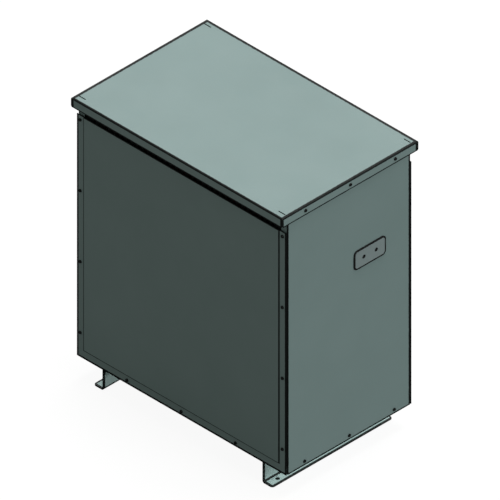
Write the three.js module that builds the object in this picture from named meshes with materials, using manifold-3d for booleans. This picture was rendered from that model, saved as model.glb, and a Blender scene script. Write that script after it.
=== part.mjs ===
// Three-phase dry-type transformer in a floor-standing ventilated sheet-steel case.
// Millimetres, +Z up. The origin is on the floor under the middle of the top cover.
// The front panel faces -Y, and the ground pad is on the +X end.

import * as THREE from 'three';
import { mergeVertices } from 'three/addons/utils/BufferGeometryUtils.js';
import Module from 'manifold-3d';

// Case
const coverWidth = 762;
const coverDepth = 491;
const overallHeight = 879;
const coverLip = 28;
const coverBend = 4; // outside radius of the cover's folds
const cornerSlot = { length: 25, width: 3.6, fromEnd: 9.2, fromCentre: 225.5 };
const bodyWidth = 754.2;
const bodyDepth = 451;
const frontOverhang = 18.1; // cover's front edge to the front panel's edge strips
const footHeight = 68.5;
const caseSheet = 1.9;
const baseSheet = 2.5;
const gap = 0.3; // between pieces that touch
const past = 1; // how far a cutting shape runs past the faces it opens
const sheetBend = 1; // inside radius of the thin sheets' folds

// Front and back panels
const panelHeight = 755.1;
const sideStrip = 25.4;
const bottomStrip = 27.1;
const fieldRise = 2.2; // raised field above the edge strips
const retainerThickness = 0.7;
const retainerHalfWidth = 4;
const gasketThickness = 1.6;
const gasketHalfWidth = 9;
const stripEndMargin = 2; // from the panel's bottom edge to the strips behind it

// Screws with hexagon heads
const screw = { headRadius: 4.6, headHeight: 3.2, shankRadius: 2.1, holeRadius: 2.6, holeSides: 8 };
const sideScrew = { inset: 12.9, lowest: 77.3, pitch: 221.1, count: 4 };
const bottomScrew = { height: 12.7, pitch: 195.5 };
const endScrew = { height: 14, pitch: 161.4 };
const coverScrewDrop = 13;
const panelScrewLength = 10;
const coverRetainer = { thickness: 0.9, pastScrews: 6, halfHeight: 5 };
const tappedStrip = { thickness: 3, pastScrews: 8, below: 4, above: 6, tip: 3 };

// End panels and base
const sideFlange = 25;
const topFlange = 20;
const topFlangeInset = 6; // from the front and back folds to its ends
const baseFlange = 25;
const flangeClearance = 0.8; // above the base pan's flange
const headerRail = { bottom: 845, flange: 28, endClearance: 1.5 };
const outletScreen = {
  halfLength: 348, thickness: 1.5, bottom: 795, top: 868,
  slotWidth: 10, slotPitch: 20, slotCount: 33, slotBottom: 802, slotTop: 840,
};
const airInlet = { width: 10, pitch: 24, count: 18, near: 120, far: 200, fromEntry: 15 };
const entryOpening = { halfWidth: 55, front: -198, back: -122, lap: 9 };
const groundPad = {
  width: 113, height: 58, thickness: 2.5, corner: 12,
  fromFront: 299.5, aboveBody: 546.5, holeSpacing: 44.45, holeRadius: 5.9,
};

// Foot rails
const foot = {
  sheet: 4, bend: 3, webInset: 87, flange: 32, topFlange: 52, frontInset: 5, length: 434, corner: 8,
  holeRadius: 6.5, holeFromWeb: 14.4, frontHole: 41, holePitch: 361,
};

// Core and clamps
const leg = { width: 90, depth: 110, pitch: 200 };
const coreBottom = 112;
const yokeHeight = 90;
const windowHeight = 360;
const clamp = { sheet: 5, bend: 4, length: 660, webHeight: 88, lowerFlange: 103, upperFlange: 95 };
const mountingBolt = {
  x: 265, y: 82, shankRadius: 5.9, headRadius: 10.5, headHeight: 8, holeRadius: 7, nutHeight: 10, tip: 4,
};
const isolationPad = { width: 50, depth: 40, height: 26, corner: 5 };

// Windings, as rounded rectangles around each leg
const coilHeight = 330;
const lowVoltage = { inner: [102, 122, 10], outer: [138, 158, 28] };
const highVoltage = { inner: [154, 174, 36], outer: [190, 210, 54] };

// Tap boards and links
const tap = {
  boardHalfWidth: 60, boardThickness: 6, boardBottom: 320, boardTop: 500, standOff: 2,
  pivotHeight: 340, radius: 70, stepDegrees: 20, stepsEachWay: 2,
  contactRadius: 8, contactRise: 3.3, linkWidth: 16, linkThickness: 3,
  studRadius: 4, studTip: 2, nutRadius: 7, nutHeight: 6, boreClearance: 0.8,
  lineStudHeight: 475, lineStudLength: 24, lineStudRadius: 6, lineNutRadius: 10, lineNutHeight: 8,
};

// Low-voltage bars and grounding
const bar = {
  width: 40, thickness: 6, bend: 2, faceY: 104, top: 800, stepRise: 9, fromWindingMiddle: 4,
  holeRadius: 6.5, holeSpacing: 44.45, topHole: 20, neutralReach: 90,
};
const terminalBoard = { halfLength: 260, thickness: 8, bottom: 690, top: 780 };
const groundStrap = {
  width: 20, thickness: 3, bend: 6, left: 300, upperEnd: -74, drop: -120, lowerEnd: -176,
};
const groundBar = {
  left: 240, right: 340, front: -206, back: -182, thickness: 6, holeRadius: 4, holes: [260, 280, 300, 320],
};

// Places worked out from the sizes above
const bodyBottom = footHeight;
const coverUnderside = overallHeight - caseSheet;
const bodyTop = coverUnderside - gap;
const halfBody = bodyWidth / 2;
const frontFace = frontOverhang - coverDepth / 2;
const backFace = frontFace + bodyDepth;
const panelBack = frontFace + caseSheet;
const retainerFront = panelBack + gap;
const gasketFront = retainerFront + retainerThickness + gap;
const caseFront = gasketFront + gasketThickness + gap;
const caseBack = backFace - caseSheet - retainerThickness - 2 * gap;
const caseMiddle = (caseFront + caseBack) / 2;
const panelTop = bodyBottom + panelHeight;
const baseTop = bodyBottom + baseSheet;
const endInner = halfBody - caseSheet;
const padBottom = baseTop + gap;
const clampUnderside = padBottom + isolationPad.height + gap;
const windowBottom = coreBottom + yokeHeight;
const windowTop = windowBottom + windowHeight;
const coilBottom = windowBottom + (windowHeight - coilHeight) / 2;
const coilTop = coilBottom + coilHeight;
const webMiddle = leg.depth / 2 + gap + clamp.sheet / 2;
const legPlaces = [['left', -leg.pitch], ['centre', 0], ['right', leg.pitch]];
const ends = [['left', -1], ['right', 1]];
const faces = [['front', -1], ['back', 1]];
const bendSteps = 3;
const roundSides = 12; // of the larger holes

const finish = (color, roughness, metalness) =>
  new THREE.MeshStandardMaterial({ color, roughness, metalness });
const casePaint = finish(0x8ba19f, 0.5, 0.1);
const screwSteel = finish(0x3c4242, 0.45, 0.8);
const gasketRubber = finish(0x16181a, 0.9, 0);
const padRubber = finish(0x222426, 0.85, 0);
const padSteel = finish(0x8c9c9a, 0.4, 0.6);
const darkSteel = finish(0x2b3030, 0.6, 0.4);
const coreSteel = finish(0x5b5f62, 0.5, 0.7);
const clampPaint = finish(0x3a4347, 0.5, 0.3);
const innerVarnish = finish(0x8a6a3c, 0.5, 0);
const outerVarnish = finish(0x7a4a22, 0.4, 0);
const boardLaminate = finish(0x8c2f26, 0.6, 0);
const tinnedCopper = finish(0xb9b4a8, 0.35, 0.9);
const copper = finish(0xb8703f, 0.35, 0.95);
const brass = finish(0xb59a52, 0.35, 0.9);

const wasm = await Module();
wasm.setup();

function solidOf(geometry) {
  const bare = geometry.clone();
  bare.deleteAttribute('normal');
  bare.deleteAttribute('uv');
  const merged = mergeVertices(bare, 1e-4);
  return new wasm.Manifold(new wasm.Mesh({
    numProp: 3,
    vertProperties: merged.attributes.position.array,
    triVerts: new Uint32Array(merged.index.array),
  }));
}

function geometryOf(solid) {
  const mesh = solid.getMesh();
  const geometry = new THREE.BufferGeometry();
  geometry.setAttribute('position', new THREE.BufferAttribute(mesh.vertProperties, 3));
  geometry.setIndex(new THREE.BufferAttribute(mesh.triVerts, 1));
  geometry.computeVertexNormals();
  return geometry;
}

const join = (first, ...others) =>
  geometryOf(others.reduce((solid, other) => solid.add(solidOf(other)), solidOf(first)));

const cut = (body, ...tools) =>
  geometryOf(tools.reduce((solid, tool) => solid.subtract(solidOf(tool)), solidOf(body)));

const common = (first, second) => geometryOf(solidOf(first).intersect(solidOf(second)));

// A box between two values on each axis, given in either order.
function block([x0, x1], [y0, y1], [z0, z1]) {
  const geometry = new THREE.BoxGeometry(Math.abs(x1 - x0), Math.abs(y1 - y0), Math.abs(z1 - z0));
  return geometry.translate((x0 + x1) / 2, (y0 + y1) / 2, (z0 + z1) / 2);
}

// A shape swept along one axis. Along x the shape lies in (y, z), along y in (x, z), along z in (x, y).
function prism(shape, axis, low, high) {
  const geometry = new THREE.ExtrudeGeometry(shape, { depth: high - low, bevelEnabled: false, steps: 1 });
  const x = new THREE.Vector3(1, 0, 0);
  const y = new THREE.Vector3(0, 1, 0);
  const z = new THREE.Vector3(0, 0, 1);
  const place = new THREE.Matrix4();
  if (axis === 'x') place.makeBasis(y, z, x).setPosition(low, 0, 0);
  if (axis === 'y') place.makeBasis(x, z, y.clone().negate()).setPosition(0, high, 0);
  if (axis === 'z') place.setPosition(0, 0, low);
  return geometry.applyMatrix4(place);
}

// A round or polygonal rod along one axis, between two values, at the given place across it.
function rod(axis, radius, low, high, [a, b], sides = screw.holeSides) {
  const geometry = new THREE.CylinderGeometry(radius, radius, Math.abs(high - low), sides);
  const middle = (low + high) / 2;
  if (axis === 'x') return geometry.rotateZ(Math.PI / 2).translate(middle, a, b);
  if (axis === 'y') return geometry.translate(a, middle, b);
  return geometry.rotateX(Math.PI / 2).translate(a, b, middle);
}

// A rectangle centred on the origin with round corners.
function roundedRectangle(width, height, radius, steps = 4) {
  const points = [];
  const corners = [[1, 1], [-1, 1], [-1, -1], [1, -1]];
  corners.forEach(([sx, sy], quarter) => {
    for (let step = 0; step <= steps; step++) {
      const angle = (quarter + step / steps) * Math.PI / 2;
      points.push(new THREE.Vector2(
        sx * (width / 2 - radius) + radius * Math.cos(angle),
        sy * (height / 2 - radius) + radius * Math.sin(angle),
      ));
    }
  });
  return new THREE.Shape(points);
}

// Both faces of a folded sheet, from a centre line of straight runs bent to an inside radius at each corner.
function foldedFaces(corners, thickness, insideRadius) {
  const points = corners.map(([a, b]) => new THREE.Vector2(a, b));
  const half = thickness / 2;
  const middleRadius = insideRadius + half;
  const left = [];
  const right = [];
  points.forEach((point, i) => {
    const before = i > 0 ? point.clone().sub(points[i - 1]).normalize() : null;
    const after = i < points.length - 1 ? points[i + 1].clone().sub(point).normalize() : null;
    if (!before || !after) {
      const along = before ?? after;
      const across = new THREE.Vector2(-along.y, along.x);
      left.push(point.clone().addScaledVector(across, half));
      right.push(point.clone().addScaledVector(across, -half));
      return;
    }
    const turn = Math.sign(before.cross(after));
    const bend = Math.acos(THREE.MathUtils.clamp(before.dot(after), -1, 1));
    const inward = new THREE.Vector2(-before.y, before.x).multiplyScalar(turn);
    const bendStart = point.clone().addScaledVector(before, -middleRadius * Math.tan(bend / 2));
    const centre = bendStart.addScaledVector(inward, middleRadius);
    for (let step = 0; step <= bendSteps; step++) {
      const spoke = inward.clone().negate().rotateAround(new THREE.Vector2(), turn * bend * step / bendSteps);
      left.push(centre.clone().addScaledVector(spoke, middleRadius - turn * half));
      right.push(centre.clone().addScaledVector(spoke, middleRadius + turn * half));
    }
  });
  return { left, right };
}

function foldedSheet(corners, thickness, insideRadius) {
  const { left, right } = foldedFaces(corners, thickness, insideRadius);
  return new THREE.Shape([...left, ...right.reverse()]);
}

// Places of the screws
const sideScrewHeights = Array.from({ length: sideScrew.count }, (_, i) =>
  bodyBottom + sideScrew.lowest + i * sideScrew.pitch);
const sideScrewX = halfBody - sideScrew.inset;
const bottomScrewZ = bodyBottom + bottomScrew.height;
const bottomScrewXs = [-bottomScrew.pitch, 0, bottomScrew.pitch];
const endScrewZ = bodyBottom + endScrew.height;
const endScrewYs = [caseMiddle - endScrew.pitch, caseMiddle, caseMiddle + endScrew.pitch];
const coverScrewZ = overallHeight - coverScrewDrop;
const panelScrewPlaces = [
  ...sideScrewHeights.flatMap((z) => [[-sideScrewX, z], [sideScrewX, z]]),
  ...bottomScrewXs.map((x) => [x, bottomScrewZ]),
];

// A screw along an axis: its head stands off the sheet face at `seat`, on the side given by `outward`.
function screwBody(axis, seat, outward, tip, place) {
  const underHead = seat + outward * gap;
  const headTop = underHead + outward * screw.headHeight;
  return join(
    rod(axis, screw.headRadius, underHead, headTop, place, 6),
    rod(axis, screw.shankRadius, headTop - outward, tip, place, 6),
  );
}

// ---- Case ----

// A shallow box, open below: the block inside its outer faces less the block inside its inner ones.
function makeTopCover() {
  const halfWidth = coverWidth / 2;
  const halfDepth = coverDepth / 2;
  const lipBottom = overallHeight - coverLip;
  const crossing = (side, overhang) => {
    const shape = (half) => {
      const edge = half - caseSheet / 2;
      const top = overallHeight - caseSheet / 2;
      const bottom = lipBottom - overhang;
      const corners = [[-edge, bottom], [-edge, top], [edge, top], [edge, bottom]];
      return new THREE.Shape(foldedFaces(corners, caseSheet, coverBend - caseSheet)[side]);
    };
    return common(
      prism(shape(halfWidth), 'y', -halfDepth, halfDepth),
      prism(shape(halfDepth), 'x', -halfWidth, halfWidth),
    );
  };
  const outside = crossing('left', 0);
  const inside = crossing('right', past);
  const { length, width, fromEnd, fromCentre } = cornerSlot;
  const slots = ends.flatMap(([, end]) => faces.map(([, face]) => block(
    [end * (halfWidth - fromEnd - length), end * (halfWidth - fromEnd)],
    [face * (fromCentre - width / 2), face * (fromCentre + width / 2)],
    [coverUnderside - past, overallHeight + past],
  )));
  const lip = [halfWidth - caseSheet - past, halfWidth + past];
  const screwHoles = ends.flatMap(([, end]) => endScrewYs.map((y) =>
    rod('x', screw.holeRadius, end * lip[0], end * lip[1], [y, coverScrewZ])));
  return cut(outside, inside, ...slots, ...screwHoles);
}

// Three screws captive in the cover's end lip. Their tips stop short of the end panel, so the cover lifts.
function makeCoverScrews(end) {
  const lipFace = end * coverWidth / 2;
  const retainerOuter = lipFace - end * (caseSheet + gap);
  const retainerInner = retainerOuter - end * coverRetainer.thickness;
  const screws = endScrewYs.map((y) => screwBody('x', lipFace, end, retainerInner, [y, coverScrewZ]));
  const reach = endScrew.pitch + coverRetainer.pastScrews;
  const retainer = block(
    [retainerInner, retainerOuter],
    [caseMiddle - reach, caseMiddle + reach],
    [coverScrewZ - coverRetainer.halfHeight, coverScrewZ + coverRetainer.halfHeight],
  );
  return join(retainer, ...screws);
}

function makeEndPanel(end) {
  const halfDepth = (caseBack - caseFront) / 2;
  const line = caseSheet / 2;
  const section = foldedSheet(
    [
      [end * (halfBody - sideFlange), -halfDepth + line],
      [end * (halfBody - line), -halfDepth + line],
      [end * (halfBody - line), halfDepth - line],
      [end * (halfBody - sideFlange), halfDepth - line],
    ],
    caseSheet, sheetBend,
  );
  const folded = prism(section, 'z', bodyBottom, bodyTop).translate(0, caseMiddle, 0);
  const top = block(
    [end * (halfBody - topFlange), end * (halfBody - line)],
    [caseFront + topFlangeInset, caseBack - topFlangeInset],
    [bodyTop - caseSheet, bodyTop],
  );
  const baseNotch = block(
    [end * (halfBody - sideFlange - past), end * endInner],
    [caseFront - past, caseBack + past],
    [bodyBottom - past, bodyBottom + baseFlange + flangeClearance],
  );
  const flangeHoles = sideScrewHeights.map((z) =>
    rod('y', screw.holeRadius, caseFront - past, caseBack + past, [end * sideScrewX, z]));
  const baseHoles = endScrewYs.map((y) =>
    rod('x', screw.holeRadius, end * (endInner - past), end * (halfBody + past), [y, endScrewZ]));
  const padHoles = end > 0 ? groundPadHoles(endInner - past, halfBody + past) : [];
  return cut(join(folded, top), baseNotch, ...flangeHoles, ...baseHoles, ...padHoles);
}

// Three screws through the bottom of an end panel into a tapped strip behind the base flange.
function makeEndPanelScrews(end) {
  const face = end * halfBody;
  const stripOuter = end * (endInner - 2 * gap - baseSheet);
  const stripInner = stripOuter - end * tappedStrip.thickness;
  const tip = stripInner - end * tappedStrip.tip;
  const screws = endScrewYs.map((y) => screwBody('x', face, end, tip, [y, endScrewZ]));
  const reach = endScrew.pitch + tappedStrip.pastScrews;
  const strip = block(
    [stripInner, stripOuter],
    [caseMiddle - reach, caseMiddle + reach],
    [endScrewZ - tappedStrip.below, endScrewZ + tappedStrip.above],
  );
  return join(strip, ...screws);
}

// A panel with a raised field, open at the top, inside flat edge strips.
function makePanel(outward, face) {
  const back = face - outward * caseSheet;
  const fieldFace = face + outward * fieldRise;
  const fieldHalf = halfBody - sideStrip;
  const fieldBottom = bodyBottom + bottomStrip;
  const sheet = block([-halfBody, halfBody], [back, face], [bodyBottom, panelTop]);
  const field = block([-fieldHalf, fieldHalf], [back, fieldFace], [fieldBottom, panelTop]);
  const hollow = block(
    [-fieldHalf + caseSheet, fieldHalf - caseSheet],
    [back - outward, fieldFace - outward * caseSheet],
    [fieldBottom + caseSheet, panelTop + past],
  );
  const holes = panelScrewPlaces.map((place) =>
    rod('y', screw.holeRadius, back - outward, face + outward, place));
  return cut(join(sheet, field), hollow, ...holes);
}

// The strip that follows a panel's screws up both sides and along the bottom.
function edgeStrip(halfWidth, y0, y1) {
  const outerX = sideScrewX + halfWidth;
  const innerX = sideScrewX - halfWidth;
  const top = sideScrewHeights[sideScrew.count - 1] + halfWidth;
  const bottom = bottomScrewZ - Math.min(halfWidth, bottomScrew.height - stripEndMargin);
  return join(
    block([-outerX, -innerX], [y0, y1], [bottom, top]),
    block([innerX, outerX], [y0, y1], [bottom, top]),
    block([-outerX, outerX], [y0, y1], [bottom, bottomScrewZ + halfWidth]),
  );
}

// All screws of one panel, kept on it by a thin strip behind its edge.
function makePanelScrews(outward, face) {
  const retainerOuter = face - outward * (caseSheet + gap);
  const retainer = edgeStrip(retainerHalfWidth, retainerOuter - outward * retainerThickness, retainerOuter);
  const tip = face - outward * panelScrewLength;
  return join(retainer, ...panelScrewPlaces.map((place) => screwBody('y', face, outward, tip, place)));
}

function makeGasket() {
  const holes = panelScrewPlaces.map((place) =>
    rod('y', screw.holeRadius, gasketFront - past, caseFront, place));
  return cut(edgeStrip(gasketHalfWidth, gasketFront, gasketFront + gasketThickness), ...holes);
}

// A cross rail under the cover, joining the end panels just inside their flanges.
function makeHeaderRail(outward, flangeInner) {
  const webMid = flangeInner - outward * (gap + caseSheet / 2);
  const railTop = bodyTop - caseSheet - gap - caseSheet / 2;
  const section = foldedSheet(
    [
      [webMid, headerRail.bottom],
      [webMid, railTop - gap],
      [webMid - outward * headerRail.flange, railTop - gap],
    ],
    caseSheet, sheetBend,
  );
  const reach = endInner - headerRail.endClearance; // clear of the end panel's inside bend
  return prism(section, 'x', -reach, reach);
}

// A slotted guard behind the warm-air outlet.
function makeOutletScreen(outward, railInner) {
  const outer = railInner - outward * gap;
  const inner = outer - outward * outletScreen.thickness;
  const plate = block(
    [-outletScreen.halfLength, outletScreen.halfLength],
    [inner, outer],
    [outletScreen.bottom, outletScreen.top],
  );
  const slots = Array.from({ length: outletScreen.slotCount }, (_, i) => {
    const x = (i - (outletScreen.slotCount - 1) / 2) * outletScreen.slotPitch;
    return block(
      [x - outletScreen.slotWidth / 2, x + outletScreen.slotWidth / 2],
      [inner - outward * past, outer + outward * past],
      [outletScreen.slotBottom, outletScreen.slotTop],
    );
  });
  return cut(plate, ...slots);
}

// A tray with upturned flanges, air slots at the front and back, and an opening for cables.
function makeBasePan() {
  const x = endInner - gap;
  const tray = cut(
    block([-x, x], [caseFront, caseBack], [bodyBottom, bodyBottom + baseFlange]),
    block(
      [-x + baseSheet, x - baseSheet],
      [caseFront + baseSheet, caseBack - baseSheet],
      [baseTop, bodyBottom + baseFlange + past],
    ),
  );
  const through = [bodyBottom - past, baseTop + past];
  const inletMiddles = Array.from({ length: airInlet.count }, (_, i) =>
    (i - (airInlet.count - 1) / 2) * airInlet.pitch);
  const slots = faces.flatMap(([, face]) => inletMiddles
    .filter((middle) => face > 0 || Math.abs(middle) > entryOpening.halfWidth + airInlet.fromEntry)
    .map((middle) => block(
      [middle - airInlet.width / 2, middle + airInlet.width / 2],
      [face * airInlet.near, face * airInlet.far],
      through,
    )));
  const entry = block(
    [-entryOpening.halfWidth, entryOpening.halfWidth], [entryOpening.front, entryOpening.back], through,
  );
  const boltHoles = mountingPlaces.map((place) => rod('z', mountingBolt.holeRadius, ...through, place));
  const panelHoles = faces.flatMap(([, face]) => bottomScrewXs.map((middle) => {
    const outer = face > 0 ? caseBack : caseFront;
    const inner = outer - face * baseSheet;
    return rod('y', screw.holeRadius, outer + face * past, inner - face * past, [middle, bottomScrewZ]);
  }));
  const endHoles = endScrewYs.map((y) => rod('x', screw.holeRadius, -halfBody, halfBody, [y, endScrewZ]));
  return cut(tray, ...slots, entry, ...boltHoles, ...panelHoles, ...endHoles);
}

function makeCableEntryPlate() {
  const { halfWidth, lap } = entryOpening;
  return block(
    [-halfWidth - lap, halfWidth + lap],
    [entryOpening.front - lap, entryOpening.back + lap],
    [baseTop + gap, baseTop + gap + caseSheet],
  );
}

// ---- Foot rails, ground pad ----

const mountingPlaces = ends.flatMap(([, end]) => faces.map(([, face]) =>
  [end * mountingBolt.x, face * mountingBolt.y]));

// Bent sheet: a drilled flange turned outward on the floor, an upright web, a top flange under the base.
function makeFootRail(end) {
  const webMid = end * (halfBody - foot.webInset - foot.sheet / 2);
  const webOuter = end * (halfBody - foot.webInset);
  const flangeEnd = webOuter + end * foot.flange;
  const topEnd = webOuter - end * foot.topFlange;
  const section = foldedSheet(
    [
      [flangeEnd, foot.sheet / 2],
      [webMid, foot.sheet / 2],
      [webMid, footHeight - gap - foot.sheet / 2],
      [topEnd, footHeight - gap - foot.sheet / 2],
    ],
    foot.sheet, foot.bend,
  );
  const front = frontFace + foot.frontInset;
  const rail = prism(section, 'y', front, front + foot.length);
  const plan = roundedRectangle(foot.flange + foot.topFlange, foot.length, foot.corner);
  const outline = prism(plan, 'z', -past, footHeight)
    .translate((flangeEnd + topEnd) / 2, front + foot.length / 2, 0);
  const anchorX = webOuter + end * foot.holeFromWeb;
  const frontHoleY = frontFace + foot.frontHole;
  const anchorHoles = [0, foot.holePitch].map((back) =>
    rod('z', foot.holeRadius, -past, foot.sheet + past, [anchorX, frontHoleY + back], roundSides));
  const boltHoles = mountingPlaces.map((place) =>
    rod('z', mountingBolt.holeRadius, footHeight - foot.sheet - foot.bend, footHeight, place));
  return cut(common(rail, outline), ...anchorHoles, ...boltHoles);
}

const padMiddle = [frontFace + groundPad.fromFront, bodyBottom + groundPad.aboveBody];

function groundPadHoles(low, high) {
  const half = groundPad.holeSpacing / 2;
  return [-half, half].map((across) =>
    rod('x', groundPad.holeRadius, low, high, [padMiddle[0] + across, padMiddle[1]], roundSides));
}

function makeGroundPad() {
  const plate = prism(
    roundedRectangle(groundPad.width, groundPad.height, groundPad.corner),
    'x', halfBody + gap, halfBody + gap + groundPad.thickness,
  ).translate(0, ...padMiddle);
  return cut(plate, ...groundPadHoles(halfBody, halfBody + gap + groundPad.thickness + past));
}

function makeGroundBar() {
  const { left, right, front, back, thickness, holeRadius } = groundBar;
  const plate = block([left, right], [front, back], [baseTop + gap, baseTop + gap + thickness]);
  const holes = groundBar.holes.map((x) =>
    rod('z', holeRadius, baseTop, baseTop + gap + thickness + past, [x, (front + back) / 2]));
  return cut(plate, ...holes);
}

// A flat braid from the lower clamp's flange down to the base pan.
function makeGroundStrap() {
  const half = groundStrap.thickness / 2;
  const upper = clampUnderside + clamp.sheet + gap + half;
  const lower = baseTop + gap + half;
  const section = foldedSheet(
    [
      [groundStrap.upperEnd, upper],
      [groundStrap.drop, upper],
      [groundStrap.drop, lower],
      [groundStrap.lowerEnd, lower],
    ],
    groundStrap.thickness, groundStrap.bend,
  );
  return prism(section, 'x', groundStrap.left, groundStrap.left + groundStrap.width);
}

// ---- Core, clamps and mountings ----

const makeLeg = () => block(
  [-leg.width / 2, leg.width / 2], [-leg.depth / 2, leg.depth / 2], [windowBottom + gap, windowTop - gap],
);

function makeYoke(bottom) {
  const half = leg.pitch + leg.width / 2;
  return block([-half, half], [-leg.depth / 2, leg.depth / 2], [bottom, bottom + yokeHeight]);
}

// An angle along each face of a yoke; the lower one is drilled for the mounting bolts.
function makeLowerClamp(outward) {
  const flangeMid = clampUnderside + clamp.sheet / 2;
  const section = foldedSheet(
    [
      [outward * clamp.lowerFlange, flangeMid],
      [outward * webMiddle, flangeMid],
      [outward * webMiddle, clampUnderside + clamp.webHeight],
    ],
    clamp.sheet, clamp.bend,
  );
  const holes = mountingPlaces.map((place) =>
    rod('z', mountingBolt.holeRadius, clampUnderside - past, clampUnderside + clamp.sheet + past, place));
  return cut(prism(section, 'x', -clamp.length / 2, clamp.length / 2), ...holes);
}

function makeUpperClamp(outward) {
  const flangeMid = windowTop + yokeHeight - clamp.sheet / 2;
  const section = foldedSheet(
    [
      [outward * clamp.upperFlange, flangeMid],
      [outward * webMiddle, flangeMid],
      [outward * webMiddle, flangeMid - clamp.webHeight],
    ],
    clamp.sheet, clamp.bend,
  );
  return prism(section, 'x', -clamp.length / 2, clamp.length / 2);
}

function makeIsolationPad() {
  const shape = roundedRectangle(isolationPad.width, isolationPad.depth, isolationPad.corner, 2);
  const pad = prism(shape, 'z', padBottom, padBottom + isolationPad.height);
  return cut(pad, rod('z', mountingBolt.holeRadius, padBottom - past, clampUnderside, [0, 0]));
}

// Bolt and nut through clamp, pad, base pan and foot rail.
function makeMountingBolt() {
  const seat = clampUnderside + clamp.sheet + gap;
  const nutTop = footHeight - 2 * gap - foot.sheet;
  const nutBottom = nutTop - mountingBolt.nutHeight;
  return join(
    rod('z', mountingBolt.headRadius, seat, seat + mountingBolt.headHeight, [0, 0], 6),
    rod('z', mountingBolt.shankRadius, nutBottom - mountingBolt.tip, seat + past, [0, 0]),
    rod('z', mountingBolt.headRadius, nutBottom, nutTop, [0, 0], 6),
  );
}

// ---- Windings and terminals ----

function makeWinding({ inner, outer }) {
  const body = prism(roundedRectangle(...outer), 'z', coilBottom, coilTop);
  return cut(body, prism(roundedRectangle(...inner), 'z', coilBottom - past, coilTop + past));
}

const boardBack = -highVoltage.outer[1] / 2 - tap.standOff;
const boardFront = boardBack - tap.boardThickness;
const linkBack = boardFront - tap.contactRise - gap;
const linkFront = linkBack - tap.linkThickness;

// A board on the front of a winding, with an arc of contacts, the link's pivot stud and a line stud.
function makeTapBoard() {
  const inBoard = boardFront + past;
  const contacts = Array.from({ length: 2 * tap.stepsEachWay + 1 }, (_, i) => {
    const angle = THREE.MathUtils.degToRad((i - tap.stepsEachWay) * tap.stepDegrees);
    const place = [tap.radius * Math.sin(angle), tap.pivotHeight + tap.radius * Math.cos(angle)];
    return rod('y', tap.contactRadius, boardFront - tap.contactRise, inBoard, place, 10);
  });
  const nutBack = linkFront - gap;
  return join(
    block(
      [-tap.boardHalfWidth, tap.boardHalfWidth], [boardFront, boardBack], [tap.boardBottom, tap.boardTop],
    ),
    ...contacts,
    rod('y', tap.studRadius, nutBack - tap.nutHeight - tap.studTip, inBoard, [0, tap.pivotHeight]),
    rod('y', tap.nutRadius, nutBack - tap.nutHeight, nutBack, [0, tap.pivotHeight], 6),
    rod('y', tap.lineStudRadius, boardFront - tap.lineStudLength, inBoard, [0, tap.lineStudHeight]),
    rod('y', tap.lineNutRadius, boardFront - tap.lineNutHeight, inBoard, [0, tap.lineStudHeight], 6),
  );
}

// A bar that swings about the pivot stud; its clamp nut sits over the chosen contact.
function makeTapLink() {
  const half = tap.linkWidth / 2;
  const steps = 6;
  const arc = (centre, start) => Array.from({ length: steps + 1 }, (_, i) => {
    const angle = start + i * Math.PI / steps;
    return new THREE.Vector2(half * Math.cos(angle), centre + half * Math.sin(angle));
  });
  const outline = new THREE.Shape([...arc(tap.radius, 0), ...arc(0, Math.PI)]);
  const link = cut(
    prism(outline, 'y', linkFront, linkBack),
    rod('y', tap.studRadius + tap.boreClearance, linkFront - past, linkBack + past, [0, 0], roundSides),
  );
  return join(link, rod('y', tap.nutRadius, linkFront - tap.nutHeight, linkFront + past, [0, tap.radius], 6));
}

// The section of a bar that leaves the low-voltage winding, steps out over the outer one and rises.
function barSection(outward) {
  const windingMiddle = (lowVoltage.inner[1] + lowVoltage.outer[1]) / 4 + bar.fromWindingMiddle;
  const barMiddle = bar.faceY - bar.thickness / 2;
  const step = coilTop + bar.stepRise;
  return foldedSheet(
    [
      [outward * windingMiddle, coilTop + gap],
      [outward * windingMiddle, step],
      [outward * barMiddle, step],
      [outward * barMiddle, bar.top],
    ],
    bar.thickness, bar.bend,
  );
}

const barHoles = (outward, middle) => [0, bar.holeSpacing].map((down) => rod(
  'y', bar.holeRadius, outward * (bar.faceY + past), outward * (bar.faceY - bar.thickness - past),
  [middle, bar.top - bar.topHole - down], roundSides,
));

const makeBusBar = () =>
  cut(prism(barSection(-1), 'x', -bar.width / 2, bar.width / 2), ...barHoles(-1, 0));

// Three risers from the back of the inner windings, joined by one bar with a lug face at its right end.
function makeNeutralBus() {
  const risers = legPlaces.map(([, middle]) =>
    prism(barSection(1), 'x', middle - bar.width / 2, middle + bar.width / 2));
  const reach = leg.pitch + bar.neutralReach;
  const cross = block(
    [-leg.pitch - bar.width / 2, reach],
    [bar.faceY - bar.thickness, bar.faceY],
    [bar.top - bar.width, bar.top],
  );
  const holes = [bar.topHole, bar.topHole + bar.holeSpacing].map((inset) => rod(
    'y', bar.holeRadius, bar.faceY + past, bar.faceY - bar.thickness - past,
    [reach - inset, bar.top - bar.width / 2], roundSides,
  ));
  return cut(join(cross, ...risers), ...holes);
}

function makeTerminalBoard() {
  const front = -bar.faceY + bar.thickness + gap;
  const board = block(
    [-terminalBoard.halfLength, terminalBoard.halfLength],
    [front, front + terminalBoard.thickness],
    [terminalBoard.bottom, terminalBoard.top],
  );
  const holes = legPlaces.flatMap(([, middle]) => [0, bar.holeSpacing].map((down) => rod(
    'y', bar.holeRadius, front - past, front + terminalBoard.thickness + past,
    [middle, bar.top - bar.topHole - down], roundSides,
  )));
  return cut(board, ...holes);
}

// ---- Assembly ----

const transformer = new THREE.Group();
const body = new THREE.Group();
const cover = new THREE.Group();
const frontPanel = new THREE.Group();
const backPanel = new THREE.Group();
const coreAndCoils = new THREE.Group();
transformer.add(body, cover, frontPanel, backPanel, coreAndCoils);

function place(group, name, geometry, material, position = [0, 0, 0]) {
  const mesh = new THREE.Mesh(geometry, material);
  mesh.name = name;
  mesh.position.set(...position);
  group.add(mesh);
}

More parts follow.
